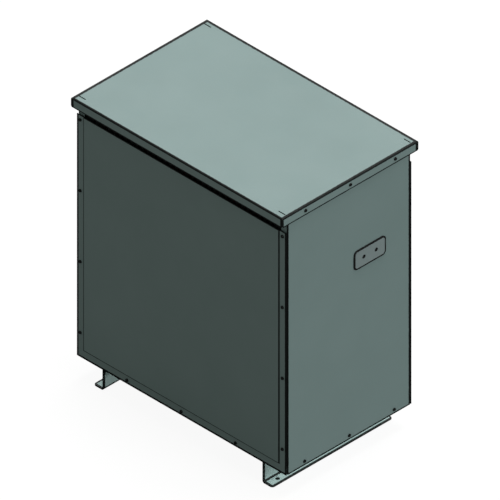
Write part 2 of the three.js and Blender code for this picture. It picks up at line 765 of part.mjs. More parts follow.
place(body, 'base_pan', makeBasePan(), casePaint);
place(body, 'cable_entry_plate', makeCableEntryPlate(), casePaint);
for (const [side, end] of ends) {
  place(body, `${side}_foot_rail`, makeFootRail(end), casePaint);
  place(body, `${side}_end_panel`, makeEndPanel(end), casePaint);
  place(body, `${side}_end_panel_screws`, makeEndPanelScrews(end), screwSteel);
  place(cover, `${side}_cover_screws`, makeCoverScrews(end), screwSteel);
}
for (const [side, outward] of faces) {
  const flangeInner = (outward > 0 ? caseBack : caseFront) - outward * caseSheet;
  const railInner = flangeInner - outward * (gap + caseSheet);
  place(body, `${side}_header_rail`, makeHeaderRail(outward, flangeInner), casePaint);
  place(body, `${side}_outlet_screen`, makeOutletScreen(outward, railInner), darkSteel);
}
place(body, 'ground_pad', makeGroundPad(), padSteel);
place(body, 'ground_bar', makeGroundBar(), copper);
place(body, 'ground_strap', makeGroundStrap(), tinnedCopper);
place(cover, 'top_cover', makeTopCover(), casePaint);
place(frontPanel, 'front_panel', makePanel(-1, frontFace), casePaint);
place(frontPanel, 'front_panel_gasket', makeGasket(), gasketRubber);
place(frontPanel, 'front_panel_screws', makePanelScrews(-1, frontFace), screwSteel);
place(backPanel, 'back_panel', makePanel(1, backFace), casePaint);
place(backPanel, 'back_panel_screws', makePanelScrews(1, backFace), screwSteel);

place(coreAndCoils, 'core_yoke_lower', makeYoke(coreBottom), coreSteel);
place(coreAndCoils, 'core_yoke_upper', makeYoke(windowTop), coreSteel);
for (const [side, x] of legPlaces) {
  place(coreAndCoils, `core_leg_${side}`, makeLeg(), coreSteel, [x, 0, 0]);
  place(coreAndCoils, `low_voltage_winding_${side}`, makeWinding(lowVoltage), innerVarnish, [x, 0, 0]);
  place(coreAndCoils, `high_voltage_winding_${side}`, makeWinding(highVoltage), outerVarnish, [x, 0, 0]);
  place(coreAndCoils, `tap_board_${side}`, makeTapBoard(), boardLaminate, [x, 0, 0]);
  place(coreAndCoils, `tap_link_${side}`, makeTapLink(), brass, [x, 0, tap.pivotHeight]);
  place(coreAndCoils, `bus_bar_${side}`, makeBusBar(), tinnedCopper, [x, 0, 0]);
}
for (const [side, outward] of faces) {
  place(coreAndCoils, `core_clamp_lower_${side}`, makeLowerClamp(outward), clampPaint);
  place(coreAndCoils, `core_clamp_upper_${side}`, makeUpperClamp(outward), clampPaint);
  for (const [hand, end] of ends) {
    const spot = [end * mountingBolt.x, outward * mountingBolt.y, 0];
    place(coreAndCoils, `isolation_pad_${hand}_${side}`, makeIsolationPad(), padRubber, spot);
    place(coreAndCoils, `mounting_bolt_${hand}_${side}`, makeMountingBolt(), screwSteel, spot);
  }
}
place(coreAndCoils, 'neutral_bus_bar', makeNeutralBus(), tinnedCopper);
place(coreAndCoils, 'terminal_board', makeTerminalBoard(), boardLaminate);

export default transformer;
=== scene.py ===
import math

import bmesh
import bpy
import numpy as np
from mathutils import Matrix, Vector


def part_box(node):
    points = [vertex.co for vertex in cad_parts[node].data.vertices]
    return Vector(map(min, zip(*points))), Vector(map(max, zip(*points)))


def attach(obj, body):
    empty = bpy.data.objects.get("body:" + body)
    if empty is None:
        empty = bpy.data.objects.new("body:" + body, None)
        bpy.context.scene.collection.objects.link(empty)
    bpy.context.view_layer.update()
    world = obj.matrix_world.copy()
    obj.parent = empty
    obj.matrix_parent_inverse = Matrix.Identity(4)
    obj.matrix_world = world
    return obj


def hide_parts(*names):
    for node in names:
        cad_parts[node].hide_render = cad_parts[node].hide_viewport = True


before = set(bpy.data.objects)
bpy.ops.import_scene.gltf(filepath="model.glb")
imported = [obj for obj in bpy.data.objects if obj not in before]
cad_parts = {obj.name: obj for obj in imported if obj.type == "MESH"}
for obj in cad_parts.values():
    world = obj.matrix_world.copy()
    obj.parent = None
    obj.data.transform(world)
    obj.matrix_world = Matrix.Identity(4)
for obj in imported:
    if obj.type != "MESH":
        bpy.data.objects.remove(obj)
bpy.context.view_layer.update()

# Sizes below are in millimetres; meshes are written in metres.
mm = 0.001
sides = (("left", -1), ("right", 1))
faces = (("front", -1), ("back", 1))
phases = ("left", "centre", "right")


def cadBounds(node):  # lowest and highest corner of a CAD node, in millimetres
    low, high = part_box(node)
    return np.array(low) / mm, np.array(high) / mm


def middleOf(node):
    low, high = cadBounds(node)
    return (low + high) / 2


def outerPlane(node, axis, direction):  # a node's last plane towards -1 or 1 along an axis
    return cadBounds(node)[(direction + 1) // 2][axis]


# Rows by columns of points become quads; a wrapped direction closes on itself, a capped end gets one polygon.
def gridSurface(points, wrapRows=False, wrapColumns=False, caps=False):
    rows, columns = points.shape[:2]
    row, column = np.meshgrid(
        np.arange(rows - (not wrapRows)), np.arange(columns - (not wrapColumns)), indexing="ij"
    )
    nextRow, nextColumn = (row + 1) % rows, (column + 1) % columns
    corners = [row * columns + column, row * columns + nextColumn,
               nextRow * columns + nextColumn, nextRow * columns + column]
    quads = np.stack(corners, axis=-1).reshape(-1, 4)
    ends = [np.arange(columns)[::-1], (rows - 1) * columns + np.arange(columns)] if caps else []
    return points.reshape(-1, 3), quads, ends


def joinSurfaces(surfaces):
    counts = np.cumsum([0] + [len(points) for points, _, _ in surfaces])
    points = np.concatenate([points for points, _, _ in surfaces])
    quads = np.concatenate([quads + start for (_, quads, _), start in zip(surfaces, counts)])
    ends = [end + start for (_, _, found), start in zip(surfaces, counts) for end in found]
    return points, quads, ends


# Flat points (a, b) are stood along an axis: x gives (along, a, b), y (a, along, b) and z (a, b, along).
def standing(flat, along, axis):
    a, b = flat[..., 0], flat[..., 1]
    order = {"x": (along, a, b), "y": (a, along, b), "z": (a, b, along)}[axis]
    return np.stack(np.broadcast_arrays(*order), axis=-1).astype(float)


# A rectangle's outline with round corners: each corner's centre plus its radius times (cos, sin) of the turn.
def roundedLoop(width, height, corner, steps=7):
    turn = (np.linspace(0, math.pi / 2, steps)[None] + np.arange(4)[:, None] * math.pi / 2).ravel()
    normal = np.stack([np.cos(turn), np.sin(turn)], axis=1)
    signs = np.repeat([[1, 1], [-1, 1], [-1, -1], [1, -1]], steps, axis=0)
    return signs * (np.array([width, height]) / 2 - corner) + corner * normal, normal


# A plate: the rounded outline is drawn in by 1 - sin, then by 1 - cos, of a quarter turn at its two faces.
def slab(axis, middle, size, low, high, corner=1.5, edge=0.5, steps=7):
    corner = max(corner, edge)
    loop, normal = roundedLoop(*size, corner, steps)
    turn = np.linspace(0, math.pi / 2, 4)
    inset = np.concatenate([edge * (1 - np.sin(turn)), edge * (1 - np.cos(turn))])
    along = np.concatenate([low + edge * (1 - np.cos(turn)), high - edge * (1 - np.sin(turn))])
    flat = np.array(middle) + loop[None] - normal[None] * inset[:, None, None]
    return gridSurface(standing(flat, along[:, None], axis), wrapColumns=True, caps=True)


# Many plain blocks at once: each corner picks the low or the high value on each axis.
def blocks(lows, highs):
    lows, highs = np.atleast_2d(lows).astype(float), np.atleast_2d(highs).astype(float)
    pick = np.array([[0, 0, 0], [1, 0, 0], [1, 1, 0], [0, 1, 0], [0, 0, 1], [1, 0, 1], [1, 1, 1], [0, 1, 1]])
    points = lows[:, None] + pick[None] * (highs - lows)[:, None]
    sheet = np.array([[3, 2, 1, 0], [4, 5, 6, 7], [0, 1, 5, 4], [1, 2, 6, 5], [2, 3, 7, 6], [3, 0, 4, 7]])
    quads = sheet[None] + len(pick) * np.arange(len(lows))[:, None, None]
    return points.reshape(-1, 3), quads.reshape(-1, 4), []


# A turned form: rows of (radius, distance along the axis) carried round in a circle.
def turned(axis, place, profile, steps=32):
    profile = np.array(profile, float)
    angle = np.arange(steps) * 2 * math.pi / steps
    circle = np.stack([np.cos(angle), np.sin(angle)], axis=1)
    flat = np.array(place) + profile[:, None, :1] * circle[None]
    return gridSurface(standing(flat, profile[:, 1:], axis), wrapColumns=True)


# A plain rod, or the cutter of a bore: one radius between two flat ends.
def rod(axis, place, radius, low, high, steps=32):
    return turned(axis, place, [(0, low), (radius, low), (radius, high), (0, high)], steps)


# A threaded rod: the radius falls and rises by the thread's depth once each pitch.
def threadedRod(axis, place, radius, low, high, pitch=1.5, depth=0.35):
    count = max(4, int(abs(high - low) / pitch) * 2)
    along = np.linspace(low, high, count)
    radii = radius - depth * (np.arange(count) % 2)
    profile = [(0, low), *zip(radii, along), (0, high)]
    return turned(axis, place, profile, steps=20)


# Fractions: of the washer's thickness and radius, of the head's height, and of its half width.
boltShape = {
    "washerEdge": 0.7, "washerTop": 0.95, "chamferFrom": 0.82, "chamfer": 1.01, "topFace": 0.72, "dish": 0.62,
}


# A bolt as rows of (hexagonal or round, radius, distance from the seat). A hexagonal row's radius is the half
# width over the cosine of the angle from the nearest flat, never more than the chamfer's circle.
def hexBolt(axis, place, seat, outward, head, tip):
    half = head["radius"] * math.cos(math.pi / 6)
    top, washer, rim, shank = head["height"], head["washer"], head["rim"], head["shank"]
    shape, reach, dish = boltShape, (tip - seat) * outward, top - head["dish"]
    rows = [
        (0, 0, reach), (0, shank, reach), (0, shank, 0), (0, rim, 0), (0, rim, washer * shape["washerEdge"]),
        (0, rim * shape["washerTop"], washer), (1, head["radius"], washer),
        (1, head["radius"], top * shape["chamferFrom"]), (1, half * shape["chamfer"], top),
        (0, half * shape["topFace"], top), (0, half * shape["dish"], dish), (0, 0, dish),
    ]
    hexagonal, limit, along = (np.array(column, float)[:, None] for column in zip(*rows))
    angle = np.arange(24) * math.pi / 12
    fromFlat = (angle + math.pi / 6) % (math.pi / 3) - math.pi / 6
    radius = np.where(hexagonal > 0, np.minimum(half / np.cos(fromFlat)[None], limit), limit)
    flat = np.array(place) + radius[..., None] * np.stack([np.cos(angle), np.sin(angle)], axis=1)[None]
    return gridSurface(standing(flat, seat + outward * along, axis), wrapColumns=True)


# Both faces of a bent sheet: straight runs joined by arcs of the inside radius plus or minus half the sheet.
def foldedFaces(corners, thickness, inside, steps=8):
    corners = np.array(corners, float)
    runs = np.diff(corners, axis=0)
    runs /= np.linalg.norm(runs, axis=1)[:, None]
    half, middle = thickness / 2, inside + thickness / 2
    left, right = [], []
    for i, corner in enumerate(corners):
        if i in (0, len(corners) - 1):
            across = np.array([-1, 1]) * runs[min(i, len(runs) - 1)][::-1]
            left.append((corner + half * across)[None])
            right.append((corner - half * across)[None])
            continue
        before, after = runs[i - 1], runs[i]
        turn = np.sign(before[0] * after[1] - before[1] * after[0])
        bend = math.acos(np.clip(before @ after, -1, 1))
        inward = turn * np.array([-before[1], before[0]])
        centre = corner - before * middle * math.tan(bend / 2) + inward * middle
        angle = math.atan2(-inward[1], -inward[0]) + turn * np.linspace(0, bend, steps + 1)
        spokes = np.stack([np.cos(angle), np.sin(angle)], axis=1)
        left.append(centre + spokes * (middle - turn * half))
        right.append(centre + spokes * (middle + turn * half))
    return np.concatenate(left), np.concatenate(right)


# A bent sheet carried along an axis. Its start can differ from point to point of the section.
def foldedSheet(corners, thickness, inside, axis, low, high, lowOf=None, steps=8):
    left, right = foldedFaces(corners, thickness, inside, steps)
    ring = np.concatenate([left, right[::-1]])
    start = lowOf(ring) if lowOf else np.full(len(ring), float(low))
    along = np.stack([start, np.full(len(ring), float(high))])
    points, quads, _ = gridSurface(standing(np.stack([ring, ring]), along, axis), wrapColumns=True)
    count, total = len(left), len(ring)
    i = np.arange(count - 1)
    end = np.stack([i, i + 1, total - 2 - i, total - 1 - i], axis=1)
    return points, np.concatenate([quads, end, end + total]), []


# A sheet given by its front and back faces, two grids of the same shape, closed round its rim.
def closedSheet(front, back):
    rows, columns = front.shape[:2]
    points, quads, _ = joinSurfaces([gridSurface(front), gridSurface(back)])
    index = np.arange(rows * columns).reshape(rows, columns)
    rim = np.concatenate([index[0, :-1], index[:-1, -1], index[-1, :0:-1], index[:0:-1, 0]])
    after = np.roll(rim, -1)
    other = rows * columns
    return points, np.concatenate([quads, np.stack([rim, after, after + other, rim + other], axis=1)]), []


# A wound coil: the outer loop moved in by an offset at each height, round a closed profile (offset, height).
def coilSurface(middle, outer, profile, steps=10):
    loop, normal = roundedLoop(*outer, steps)
    profile = np.array(profile, float)
    flat = np.array(middle) + loop[None] - normal[None] * profile[:, None, :1]
    return gridSurface(standing(flat, profile[:, 1:], "z"), wrapRows=True, wrapColumns=True)


leadRounding = 12
notAlongAnyLead = (0.13, 1.0, 0.07)


# A round lead: a circle carried along a path, square to its direction. The path runs evenly through the given
# points, and each inner point then moves towards the middle of its neighbours a few times, which rounds it.
def lead(points, radius, steps=60, around=14):
    points = np.array(points, float)
    length = np.concatenate([[0], np.cumsum(np.linalg.norm(np.diff(points, axis=0), axis=1))])
    even = np.linspace(0, length[-1], steps)
    path = np.stack([np.interp(even, length, points[:, k]) for k in range(3)], axis=1)
    for _ in range(leadRounding):
        path[1:-1] = path[1:-1] * 0.5 + (path[:-2] + path[2:]) * 0.25
    along = np.gradient(path, axis=0)
    along /= np.linalg.norm(along, axis=1)[:, None]
    across = np.cross(along, notAlongAnyLead)
    across /= np.linalg.norm(across, axis=1)[:, None]
    third = np.cross(along, across)
    angle = np.arange(around) * 2 * math.pi / around
    ring = np.cos(angle)[None, :, None] * across[:, None] + np.sin(angle)[None, :, None] * third[:, None]
    return gridSurface(path[:, None] + radius * ring, wrapColumns=True, caps=True)


# merge, refineMerge and sliver in metres, flat and bevelAbove in degrees
meshCare = {"merge": 2e-6, "refineMerge": 1e-5, "sliver": 1e-7, "flat": 1, "bevelAbove": 50}


def meshFrom(name, surfaces):
    points, quads, ends = joinSurfaces(surfaces)
    mesh = bpy.data.meshes.new(name)
    mesh.from_pydata((points * mm).tolist(), [], quads.tolist() + [end.tolist() for end in ends])
    shape = bmesh.new()
    shape.from_mesh(mesh)
    bmesh.ops.remove_doubles(shape, verts=shape.verts, dist=meshCare["merge"])
    bmesh.ops.dissolve_degenerate(shape, edges=shape.edges, dist=meshCare["sliver"])
    bmesh.ops.recalc_face_normals(shape, faces=shape.faces)
    shape.to_mesh(mesh)
    shape.free()
    return mesh


def link(name, mesh):
    piece = bpy.data.objects.new(name, mesh)
    bpy.context.scene.collection.objects.link(piece)
    return piece


def applyBoolean(piece, surfaces, operation="DIFFERENCE"):
    tool = link("cutter", meshFrom("cutter", surfaces))
    modifier = piece.modifiers.new("cut", "BOOLEAN")
    modifier.operation = operation
    modifier.solver = "EXACT"
    modifier.object = tool
    made = bpy.data.meshes.new_from_object(piece.evaluated_get(bpy.context.evaluated_depsgraph_get()))
    piece.modifiers.clear()
    piece.data = made
    bpy.data.objects.remove(tool)


def dress(piece, body, material, standsFor=(), edge=0.0, smooth=38):
    piece.data.materials.clear()
    piece.data.materials.append(material)
    piece.data.polygons.foreach_set("use_smooth", np.ones(len(piece.data.polygons), bool))
    piece.data.set_sharp_from_angle(angle=math.radians(smooth))
    if edge:
        rounding = piece.modifiers.new("edge", "BEVEL")
        rounding.width = edge * mm
        rounding.segments = 2
        rounding.limit_method = "ANGLE"
        rounding.angle_limit = math.radians(meshCare["bevelAbove"])
    weighted = piece.modifiers.new("normals", "WEIGHTED_NORMAL")
    weighted.keep_sharp = True
    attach(piece, body)
    if standsFor:
        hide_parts(*standsFor)
    return piece


def addPiece(name, surfaces, body, material, standsFor=(), edge=0.0, cuts=(), within=(), smooth=38):
    piece = link(name, meshFrom(name, surfaces))
    if within:
        applyBoolean(piece, within, "INTERSECT")
    if cuts:
        applyBoolean(piece, cuts)
    return dress(piece, body, material, standsFor, edge, smooth)


# A CAD node's shape made fit to look at: a merged copy with its flat triangles joined and its edges rounded.
def refined(name, node, body, material, edge=0.4):
    shape = bmesh.new()
    shape.from_mesh(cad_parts[node].data)
    bmesh.ops.remove_doubles(shape, verts=shape.verts, dist=meshCare["refineMerge"])
    flat = math.radians(meshCare["flat"])
    bmesh.ops.dissolve_limit(shape, angle_limit=flat, verts=shape.verts, edges=shape.edges)
    mesh = bpy.data.meshes.new(name)
    shape.to_mesh(mesh)
    shape.free()
    return dress(link(name, mesh), body, material, (node,), edge)


def nodeMaker(tree):
    def add(kind, inputs=None, **settings):
        node = tree.nodes.new(kind)
        for key, value in settings.items():
            setattr(node, key, value)
        for key, value in (inputs or {}).items():
            if isinstance(value, bpy.types.NodeSocket):
                tree.links.new(value, node.inputs[key])
            else:
                node.inputs[key].default_value = value
        return node
    return add


def startGroup(name, inputs, outputs):
    tree = bpy.data.node_groups.new(name, "ShaderNodeTree")
    for label, kind, value in inputs:
        socket = tree.interface.new_socket(name=label, in_out="INPUT", socket_type="NodeSocket" + kind)
        socket.default_value = value
    for label, kind in outputs:
        tree.interface.new_socket(name=label, in_out="OUTPUT", socket_type="NodeSocket" + kind)
    add = nodeMaker(tree)
    return tree, add, add("NodeGroupInput").outputs, add("NodeGroupOutput").inputs


def compute(add, operation, *values):
    return add("ShaderNodeMath", dict(enumerate(values)), operation=operation).outputs[0]


def computeVector(add, operation, *values):
    return add("ShaderNodeVectorMath", dict(enumerate(values)), operation=operation).outputs[0]


# Noise scale, detail and strength for the painted shade along edges, and the point where that shade turns
# solid.
shadeLook = {"jitterScale": 160.0, "jitterDetail": 2.0, "jitter": 0.25, "solidTo": 0.8}


# Painted shade along the edges of a box, with noise to break the line: each axis's distance to its nearer
# face is divided by that face's width. On a face one of the three is nothing, so the middle one tells how
# near the closest edge is.
def makeEdgeShade():
    tree, add, given, made = startGroup(
        "edgeShade",
        [("Vector", "Vector", (0, 0, 0)), ("Low", "Vector", (0, 0, 0)), ("High", "Vector", (1, 1, 1)),
         ("LowWidth", "Vector", (1, 1, 1)), ("HighWidth", "Vector", (1, 1, 1))],
        [("Mask", "Float")],
    )
    ratios = []
    for first, second, width in (("Vector", "Low", "LowWidth"), ("High", "Vector", "HighWidth")):
        away = computeVector(add, "ABSOLUTE", computeVector(add, "SUBTRACT", given[first], given[second]))
        ratios.append(computeVector(add, "DIVIDE", away, given[width]))
    axes = add("ShaderNodeSeparateXYZ", {0: computeVector(add, "MINIMUM", *ratios)}).outputs
    lower = compute(add, "MINIMUM", axes[0], axes[1])
    upper = compute(add, "MAXIMUM", axes[0], axes[1])
    middle = compute(add, "MAXIMUM", lower, compute(add, "MINIMUM", upper, axes[2]))
    # Noise breaks up the edge of the painted shade line.
    rough = add("ShaderNodeTexNoise", {"Vector": given["Vector"], "Scale": shadeLook["jitterScale"],
                                       "Detail": shadeLook["jitterDetail"]})
    jitter = compute(add, "SUBTRACT", rough.outputs["Fac"], 0.5)
    jittered = compute(add, "MULTIPLY_ADD", jitter, shadeLook["jitter"], middle)
    mask = add("ShaderNodeMapRange", {0: jittered, 1: shadeLook["solidTo"], 2: 1.0, 3: 1.0, 4: 0.0},
               interpolation_type="SMOOTHSTEP")
    tree.links.new(mask.outputs[0], made["Mask"])
    return tree


# The painted shade line along a raised field's outline, seen from the front: the distance to the rectangle in
# x and z.
def makeStepShade():
    tree, add, given, made = startGroup(
        "stepShade",
        [("Vector", "Vector", (0, 0, 0)), ("Low", "Vector", (0, 0, 0)), ("High", "Vector", (1, 1, 1)),
         ("Width", "Float", 0.002)],
        [("Mask", "Float")],
    )
    total = computeVector(add, "ADD", given["Low"], given["High"])
    centre = computeVector(add, "MULTIPLY", total, (0.5, 0.5, 0.5))
    half = computeVector(add, "SUBTRACT", given["High"], centre)
    away = computeVector(add, "ABSOLUTE", computeVector(add, "SUBTRACT", given["Vector"], centre))
    axes = add("ShaderNodeSeparateXYZ", {0: computeVector(add, "SUBTRACT", away, half)}).outputs
    distance = compute(add, "ABSOLUTE", compute(add, "MAXIMUM", axes[0], axes[2]))
    inner = compute(add, "MULTIPLY", given["Width"], 0.5)
    mask = add("ShaderNodeMapRange", {0: distance, 1: inner, 2: given["Width"], 3: 1.0, 4: 0.0},
               interpolation_type="SMOOTHSTEP")
    tree.links.new(mask.outputs[0], made["Mask"])
    return tree


grainLook = {"from": 0.32, "to": 0.68, "fineDetail": 3.0, "broadDetail": 4.0}


# Fine grain over broad patches: Tone runs from 0 to 1, Height is the fine grain alone.
def makeGrain():
    tree, add, given, made = startGroup(
        "grain",
        [("Vector", "Vector", (0, 0, 0)), ("Fine", "Float", 700.0), ("Broad", "Float", 8.0),
         ("Mix", "Float", 0.5)],
        [("Tone", "Float"), ("Height", "Float")],
    )
    fine = add("ShaderNodeTexNoise", {"Vector": given["Vector"], "Scale": given["Fine"],
                                      "Detail": grainLook["fineDetail"]})
    broad = add("ShaderNodeTexNoise", {"Vector": given["Vector"], "Scale": given["Broad"],
                                       "Detail": grainLook["broadDetail"]})
    tone = add("ShaderNodeMix", {0: given["Mix"], 2: broad.outputs["Fac"], 3: fine.outputs["Fac"]})
    spread = add("ShaderNodeMapRange", {0: tone.outputs[0], 1: grainLook["from"], 2: grainLook["to"],
                                        3: 0.0, 4: 1.0})
    tree.links.new(spread.outputs[0], made["Tone"])
    tree.links.new(fine.outputs["Fac"], made["Height"])
    return tree


dustLook = {"onTop": 0.35, "patchScale": 22.0, "patchDetail": 6.0, "from": 0.35, "to": 0.75, "dulls": 0.3}


# Dust: thick where the surface faces up or lies low, broken into patches by noise.
def makeDust():
    tree, add, given, made = startGroup(
        "dust",
        [("Vector", "Vector", (0, 0, 0)), ("Reach", "Float", 0.1), ("Amount", "Float", 0.2)],
        [("Mask", "Float")],
    )
    height = add("ShaderNodeSeparateXYZ", {0: given["Vector"]}).outputs[2]
    low = add("ShaderNodeMapRange", {0: height, 1: 0.0, 2: given["Reach"], 3: 1.0, 4: 0.0}).outputs[0]
    normal = add("ShaderNodeNewGeometry").outputs["Normal"]
    up = add("ShaderNodeSeparateXYZ", {0: normal}).outputs[2]
    onTop = compute(add, "MULTIPLY", compute(add, "MAXIMUM", up, 0.0), dustLook["onTop"])
    settled = compute(add, "MAXIMUM", low, onTop)
    patches = add("ShaderNodeTexNoise", {"Vector": given["Vector"], "Scale": dustLook["patchScale"],
                                         "Detail": dustLook["patchDetail"]})
    spread = add("ShaderNodeMapRange", {0: patches.outputs["Fac"], 1: dustLook["from"], 2: dustLook["to"],
                                        3: 0.0, 4: 1.0}).outputs[0]
    amount = compute(add, "MULTIPLY", compute(add, "MULTIPLY", settled, spread), given["Amount"])
    tree.links.new(amount, made["Mask"])
    return tree


braidLook = {"turn": 0.7, "unevenness": 0.4}


# Crossing strands: two diagonal waves, the greater of which is the strand on top.
def makeBraid():
    tree, add, given, made = startGroup(
        "braid", [("Vector", "Vector", (0, 0, 0)), ("Scale", "Float", 400.0)], [("Height", "Float")]
    )
    waves = []
    for turn in (braidLook["turn"], -braidLook["turn"]):
        slanted = add("ShaderNodeMapping", {"Vector": given["Vector"], "Rotation": (turn, 0.0, turn)})
        waves.append(add("ShaderNodeTexWave", {"Vector": slanted.outputs[0], "Scale": given["Scale"],
                                               "Distortion": braidLook["unevenness"]}).outputs["Fac"])
    tree.links.new(compute(add, "MAXIMUM", *waves), made["Height"])
    return tree


shaderGroups = {
    "edgeShade": makeEdgeShade(), "stepShade": makeStepShade(), "grain": makeGrain(), "dust": makeDust(),
    "braid": makeBraid(),
}

# Every finish of the object: two tones of its colour, and how its grain, bump and dust show.
plainFinish = {"metallic": 0.0, "mix": 0.5, "coat": 0.0, "specular": 0.5}
finishes = {
    "casePaint": {
        "light": (0.33, 0.446, 0.438), "deep": (0.31, 0.422, 0.414), "roughness": 0.55,
        "fine": 900.0, "broad": 7.0, "mix": 0.3, "bump": 0.12, "dust": 0.12, "specular": 0.3,
    },
    # Black paint on the outlet guards; the black also stands in for the shade in the slot under the cover's
    # lip.
    "guardBlack": {
        "light": (0.028, 0.031, 0.031), "deep": (0.014, 0.016, 0.016), "roughness": 0.6,
        "fine": 800.0, "broad": 20.0, "bump": 0.15, "dust": 0.15,
    },
    "screwSteel": {
        "light": (0.035, 0.038, 0.038), "deep": (0.012, 0.014, 0.014), "roughness": 0.42, "metallic": 0.7,
        "fine": 1500.0, "broad": 120.0, "bump": 0.08,
    },
    "gasketRubber": {
        "light": (0.012, 0.013, 0.013), "deep": (0.004, 0.004, 0.005), "roughness": 0.9,
        "fine": 2200.0, "broad": 60.0, "mix": 0.7, "bump": 0.6,
    },
    "mountRubber": {
        "light": (0.03, 0.03, 0.031), "deep": (0.015, 0.015, 0.016), "roughness": 0.82,
        "fine": 900.0, "broad": 40.0, "bump": 0.25, "dust": 0.3,
    },
    "groundPlate": {
        "light": (0.37, 0.45, 0.455), "deep": (0.33, 0.405, 0.41), "roughness": 0.5,
        "fine": 1100.0, "broad": 30.0, "mix": 0.4, "bump": 0.12,
    },
    "bareCopper": {
        "light": (0.66, 0.33, 0.19), "deep": (0.42, 0.18, 0.1), "roughness": 0.36, "metallic": 1.0,
        "fine": 500.0, "broad": 25.0, "mix": 0.35, "bump": 0.06, "stretch": (0.06, 1.0, 1.0),
    },
    "tinnedCopper": {
        "light": (0.62, 0.6, 0.56), "deep": (0.46, 0.43, 0.39), "roughness": 0.38, "metallic": 1.0,
        "fine": 600.0, "broad": 18.0, "mix": 0.35, "bump": 0.06, "stretch": (1.0, 1.0, 0.06),
    },
    "tinnedBraid": {
        "light": (0.6, 0.57, 0.52), "deep": (0.3, 0.27, 0.24), "roughness": 0.45, "metallic": 0.9,
        "fine": 900.0, "broad": 40.0, "bump": 0.5, "braid": 150.0,
    },
    "coreSteel": {
        "light": (0.17, 0.18, 0.2), "deep": (0.07, 0.075, 0.085), "roughness": 0.48, "metallic": 0.75,
        "fine": 420.0, "broad": 12.0, "mix": 0.6, "bump": 0.15, "stretch": (0.05, 1.0, 0.05),
    },
    "clampPaint": {
        "light": (0.052, 0.066, 0.072), "deep": (0.035, 0.046, 0.052), "roughness": 0.45,
        "fine": 800.0, "broad": 14.0, "mix": 0.3, "bump": 0.15, "dust": 0.25,
    },
    "innerWinding": {
        "light": (0.46, 0.3, 0.13), "deep": (0.26, 0.15, 0.055), "roughness": 0.42,
        "fine": 160.0, "broad": 10.0, "bump": 0.12, "stretch": (0.15, 0.15, 1.0), "coat": 0.35,
    },
    "outerWinding": {
        "light": (0.33, 0.14, 0.045), "deep": (0.15, 0.052, 0.018), "roughness": 0.36,
        "fine": 180.0, "broad": 9.0, "mix": 0.55, "bump": 0.1, "stretch": (0.12, 0.12, 1.0), "coat": 0.5,
    },
    "boardLaminate": {
        "light": (0.32, 0.05, 0.032), "deep": (0.2, 0.028, 0.02), "roughness": 0.55,
        "fine": 700.0, "broad": 30.0, "mix": 0.6, "bump": 0.2, "stretch": (1.0, 1.0, 0.3),
    },
    "formerBoard": {
        "light": (0.5, 0.4, 0.23), "deep": (0.36, 0.27, 0.14), "roughness": 0.7,
        "fine": 600.0, "broad": 25.0, "mix": 0.6, "bump": 0.2,
    },
    "linkBrass": {
        "light": (0.62, 0.45, 0.17), "deep": (0.42, 0.28, 0.09), "roughness": 0.34, "metallic": 1.0,
        "fine": 700.0, "broad": 40.0, "mix": 0.4, "bump": 0.06, "stretch": (1.0, 1.0, 0.1),
    },
    "leadSleeve": {
        "light": (0.07, 0.07, 0.075), "deep": (0.035, 0.035, 0.04), "roughness": 0.5,
        "fine": 900.0, "broad": 50.0, "bump": 0.2,
    },
}
paintedShadeColour = (0.0045, 0.0075, 0.007, 1.0)  # painted shade along folds, edges and joints
dustColour = (0.42, 0.43, 0.41, 1.0)
grainDepth = 0.0002  # metres
roughnessSpread = 0.05
lineSockets = {"edgeShade": ("Low", "High", "LowWidth", "HighWidth"), "stepShade": ("Low", "High", "Width")}


# edges: boxes whose edges get painted shade, as (low, high, width inside each low face, width inside each
# high face); steps: raised fields' outlines that get painted shade, as (low, high, width); all in metres
def makeMaterial(name, finish, edges=(), steps=()):
    look = {**plainFinish, **finishes[finish]}
    material = bpy.data.materials.new(name)
    material.use_nodes = True
    tree = material.node_tree
    tree.nodes.clear()
    add = nodeMaker(tree)
    place = add("ShaderNodeTexCoord").outputs["Object"]
    stretched = place
    if "stretch" in look:
        stretched = add("ShaderNodeMapping", {"Vector": place, "Scale": look["stretch"]}).outputs[0]

    def useGroup(kind, vector, values):
        node = add("ShaderNodeGroup", node_tree=shaderGroups[kind])
        tree.links.new(vector, node.inputs["Vector"])
        for socket, value in values.items():
            node.inputs[socket].default_value = value
        return node

    def blend(mask, under, over):
        return add("ShaderNodeMix", {0: mask, 6: under, 7: over}, data_type="RGBA").outputs[2]

    grain = useGroup("grain", stretched, {"Fine": look["fine"], "Broad": look["broad"], "Mix": look["mix"]})
    tone, height = grain.outputs["Tone"], grain.outputs["Height"]
    colour = blend(tone, (*look["deep"], 1), (*look["light"], 1))
    duller, shinier = look["roughness"] + roughnessSpread, look["roughness"] - roughnessSpread
    roughness = add("ShaderNodeMapRange", {0: tone, 1: 0.0, 2: 1.0, 3: duller, 4: shinier}).outputs[0]
    if "dust" in look:
        dust = useGroup("dust", place, {"Amount": look["dust"]})
        colour = blend(dust.outputs[0], colour, dustColour)
        roughness = compute(add, "MULTIPLY_ADD", dust.outputs[0], dustLook["dulls"], roughness)
    # Painted shade: dark lines along the boxes' edges and the raised fields' outlines.
    for kind, boxes in (("edgeShade", edges), ("stepShade", steps)):
        for values in boxes:
            line = useGroup(kind, place, dict(zip(lineSockets[kind], values)))
            colour = blend(line.outputs[0], colour, paintedShadeColour)
    if "braid" in look:
        height = useGroup("braid", place, {"Scale": look["braid"]}).outputs[0]
    bump = add("ShaderNodeBump", {"Strength": look["bump"], "Distance": grainDepth, "Height": height})
    shader = add("ShaderNodeBsdfPrincipled", {
        "Base Color": colour, "Roughness": roughness, "Normal": bump.outputs[0], "Metallic": look["metallic"],
        "Coat Weight": look["coat"], "Specular IOR Level": look["specular"],
    })
    output = add("ShaderNodeOutputMaterial")
    tree.links.new(shader.outputs[0], output.inputs["Surface"])
    return material


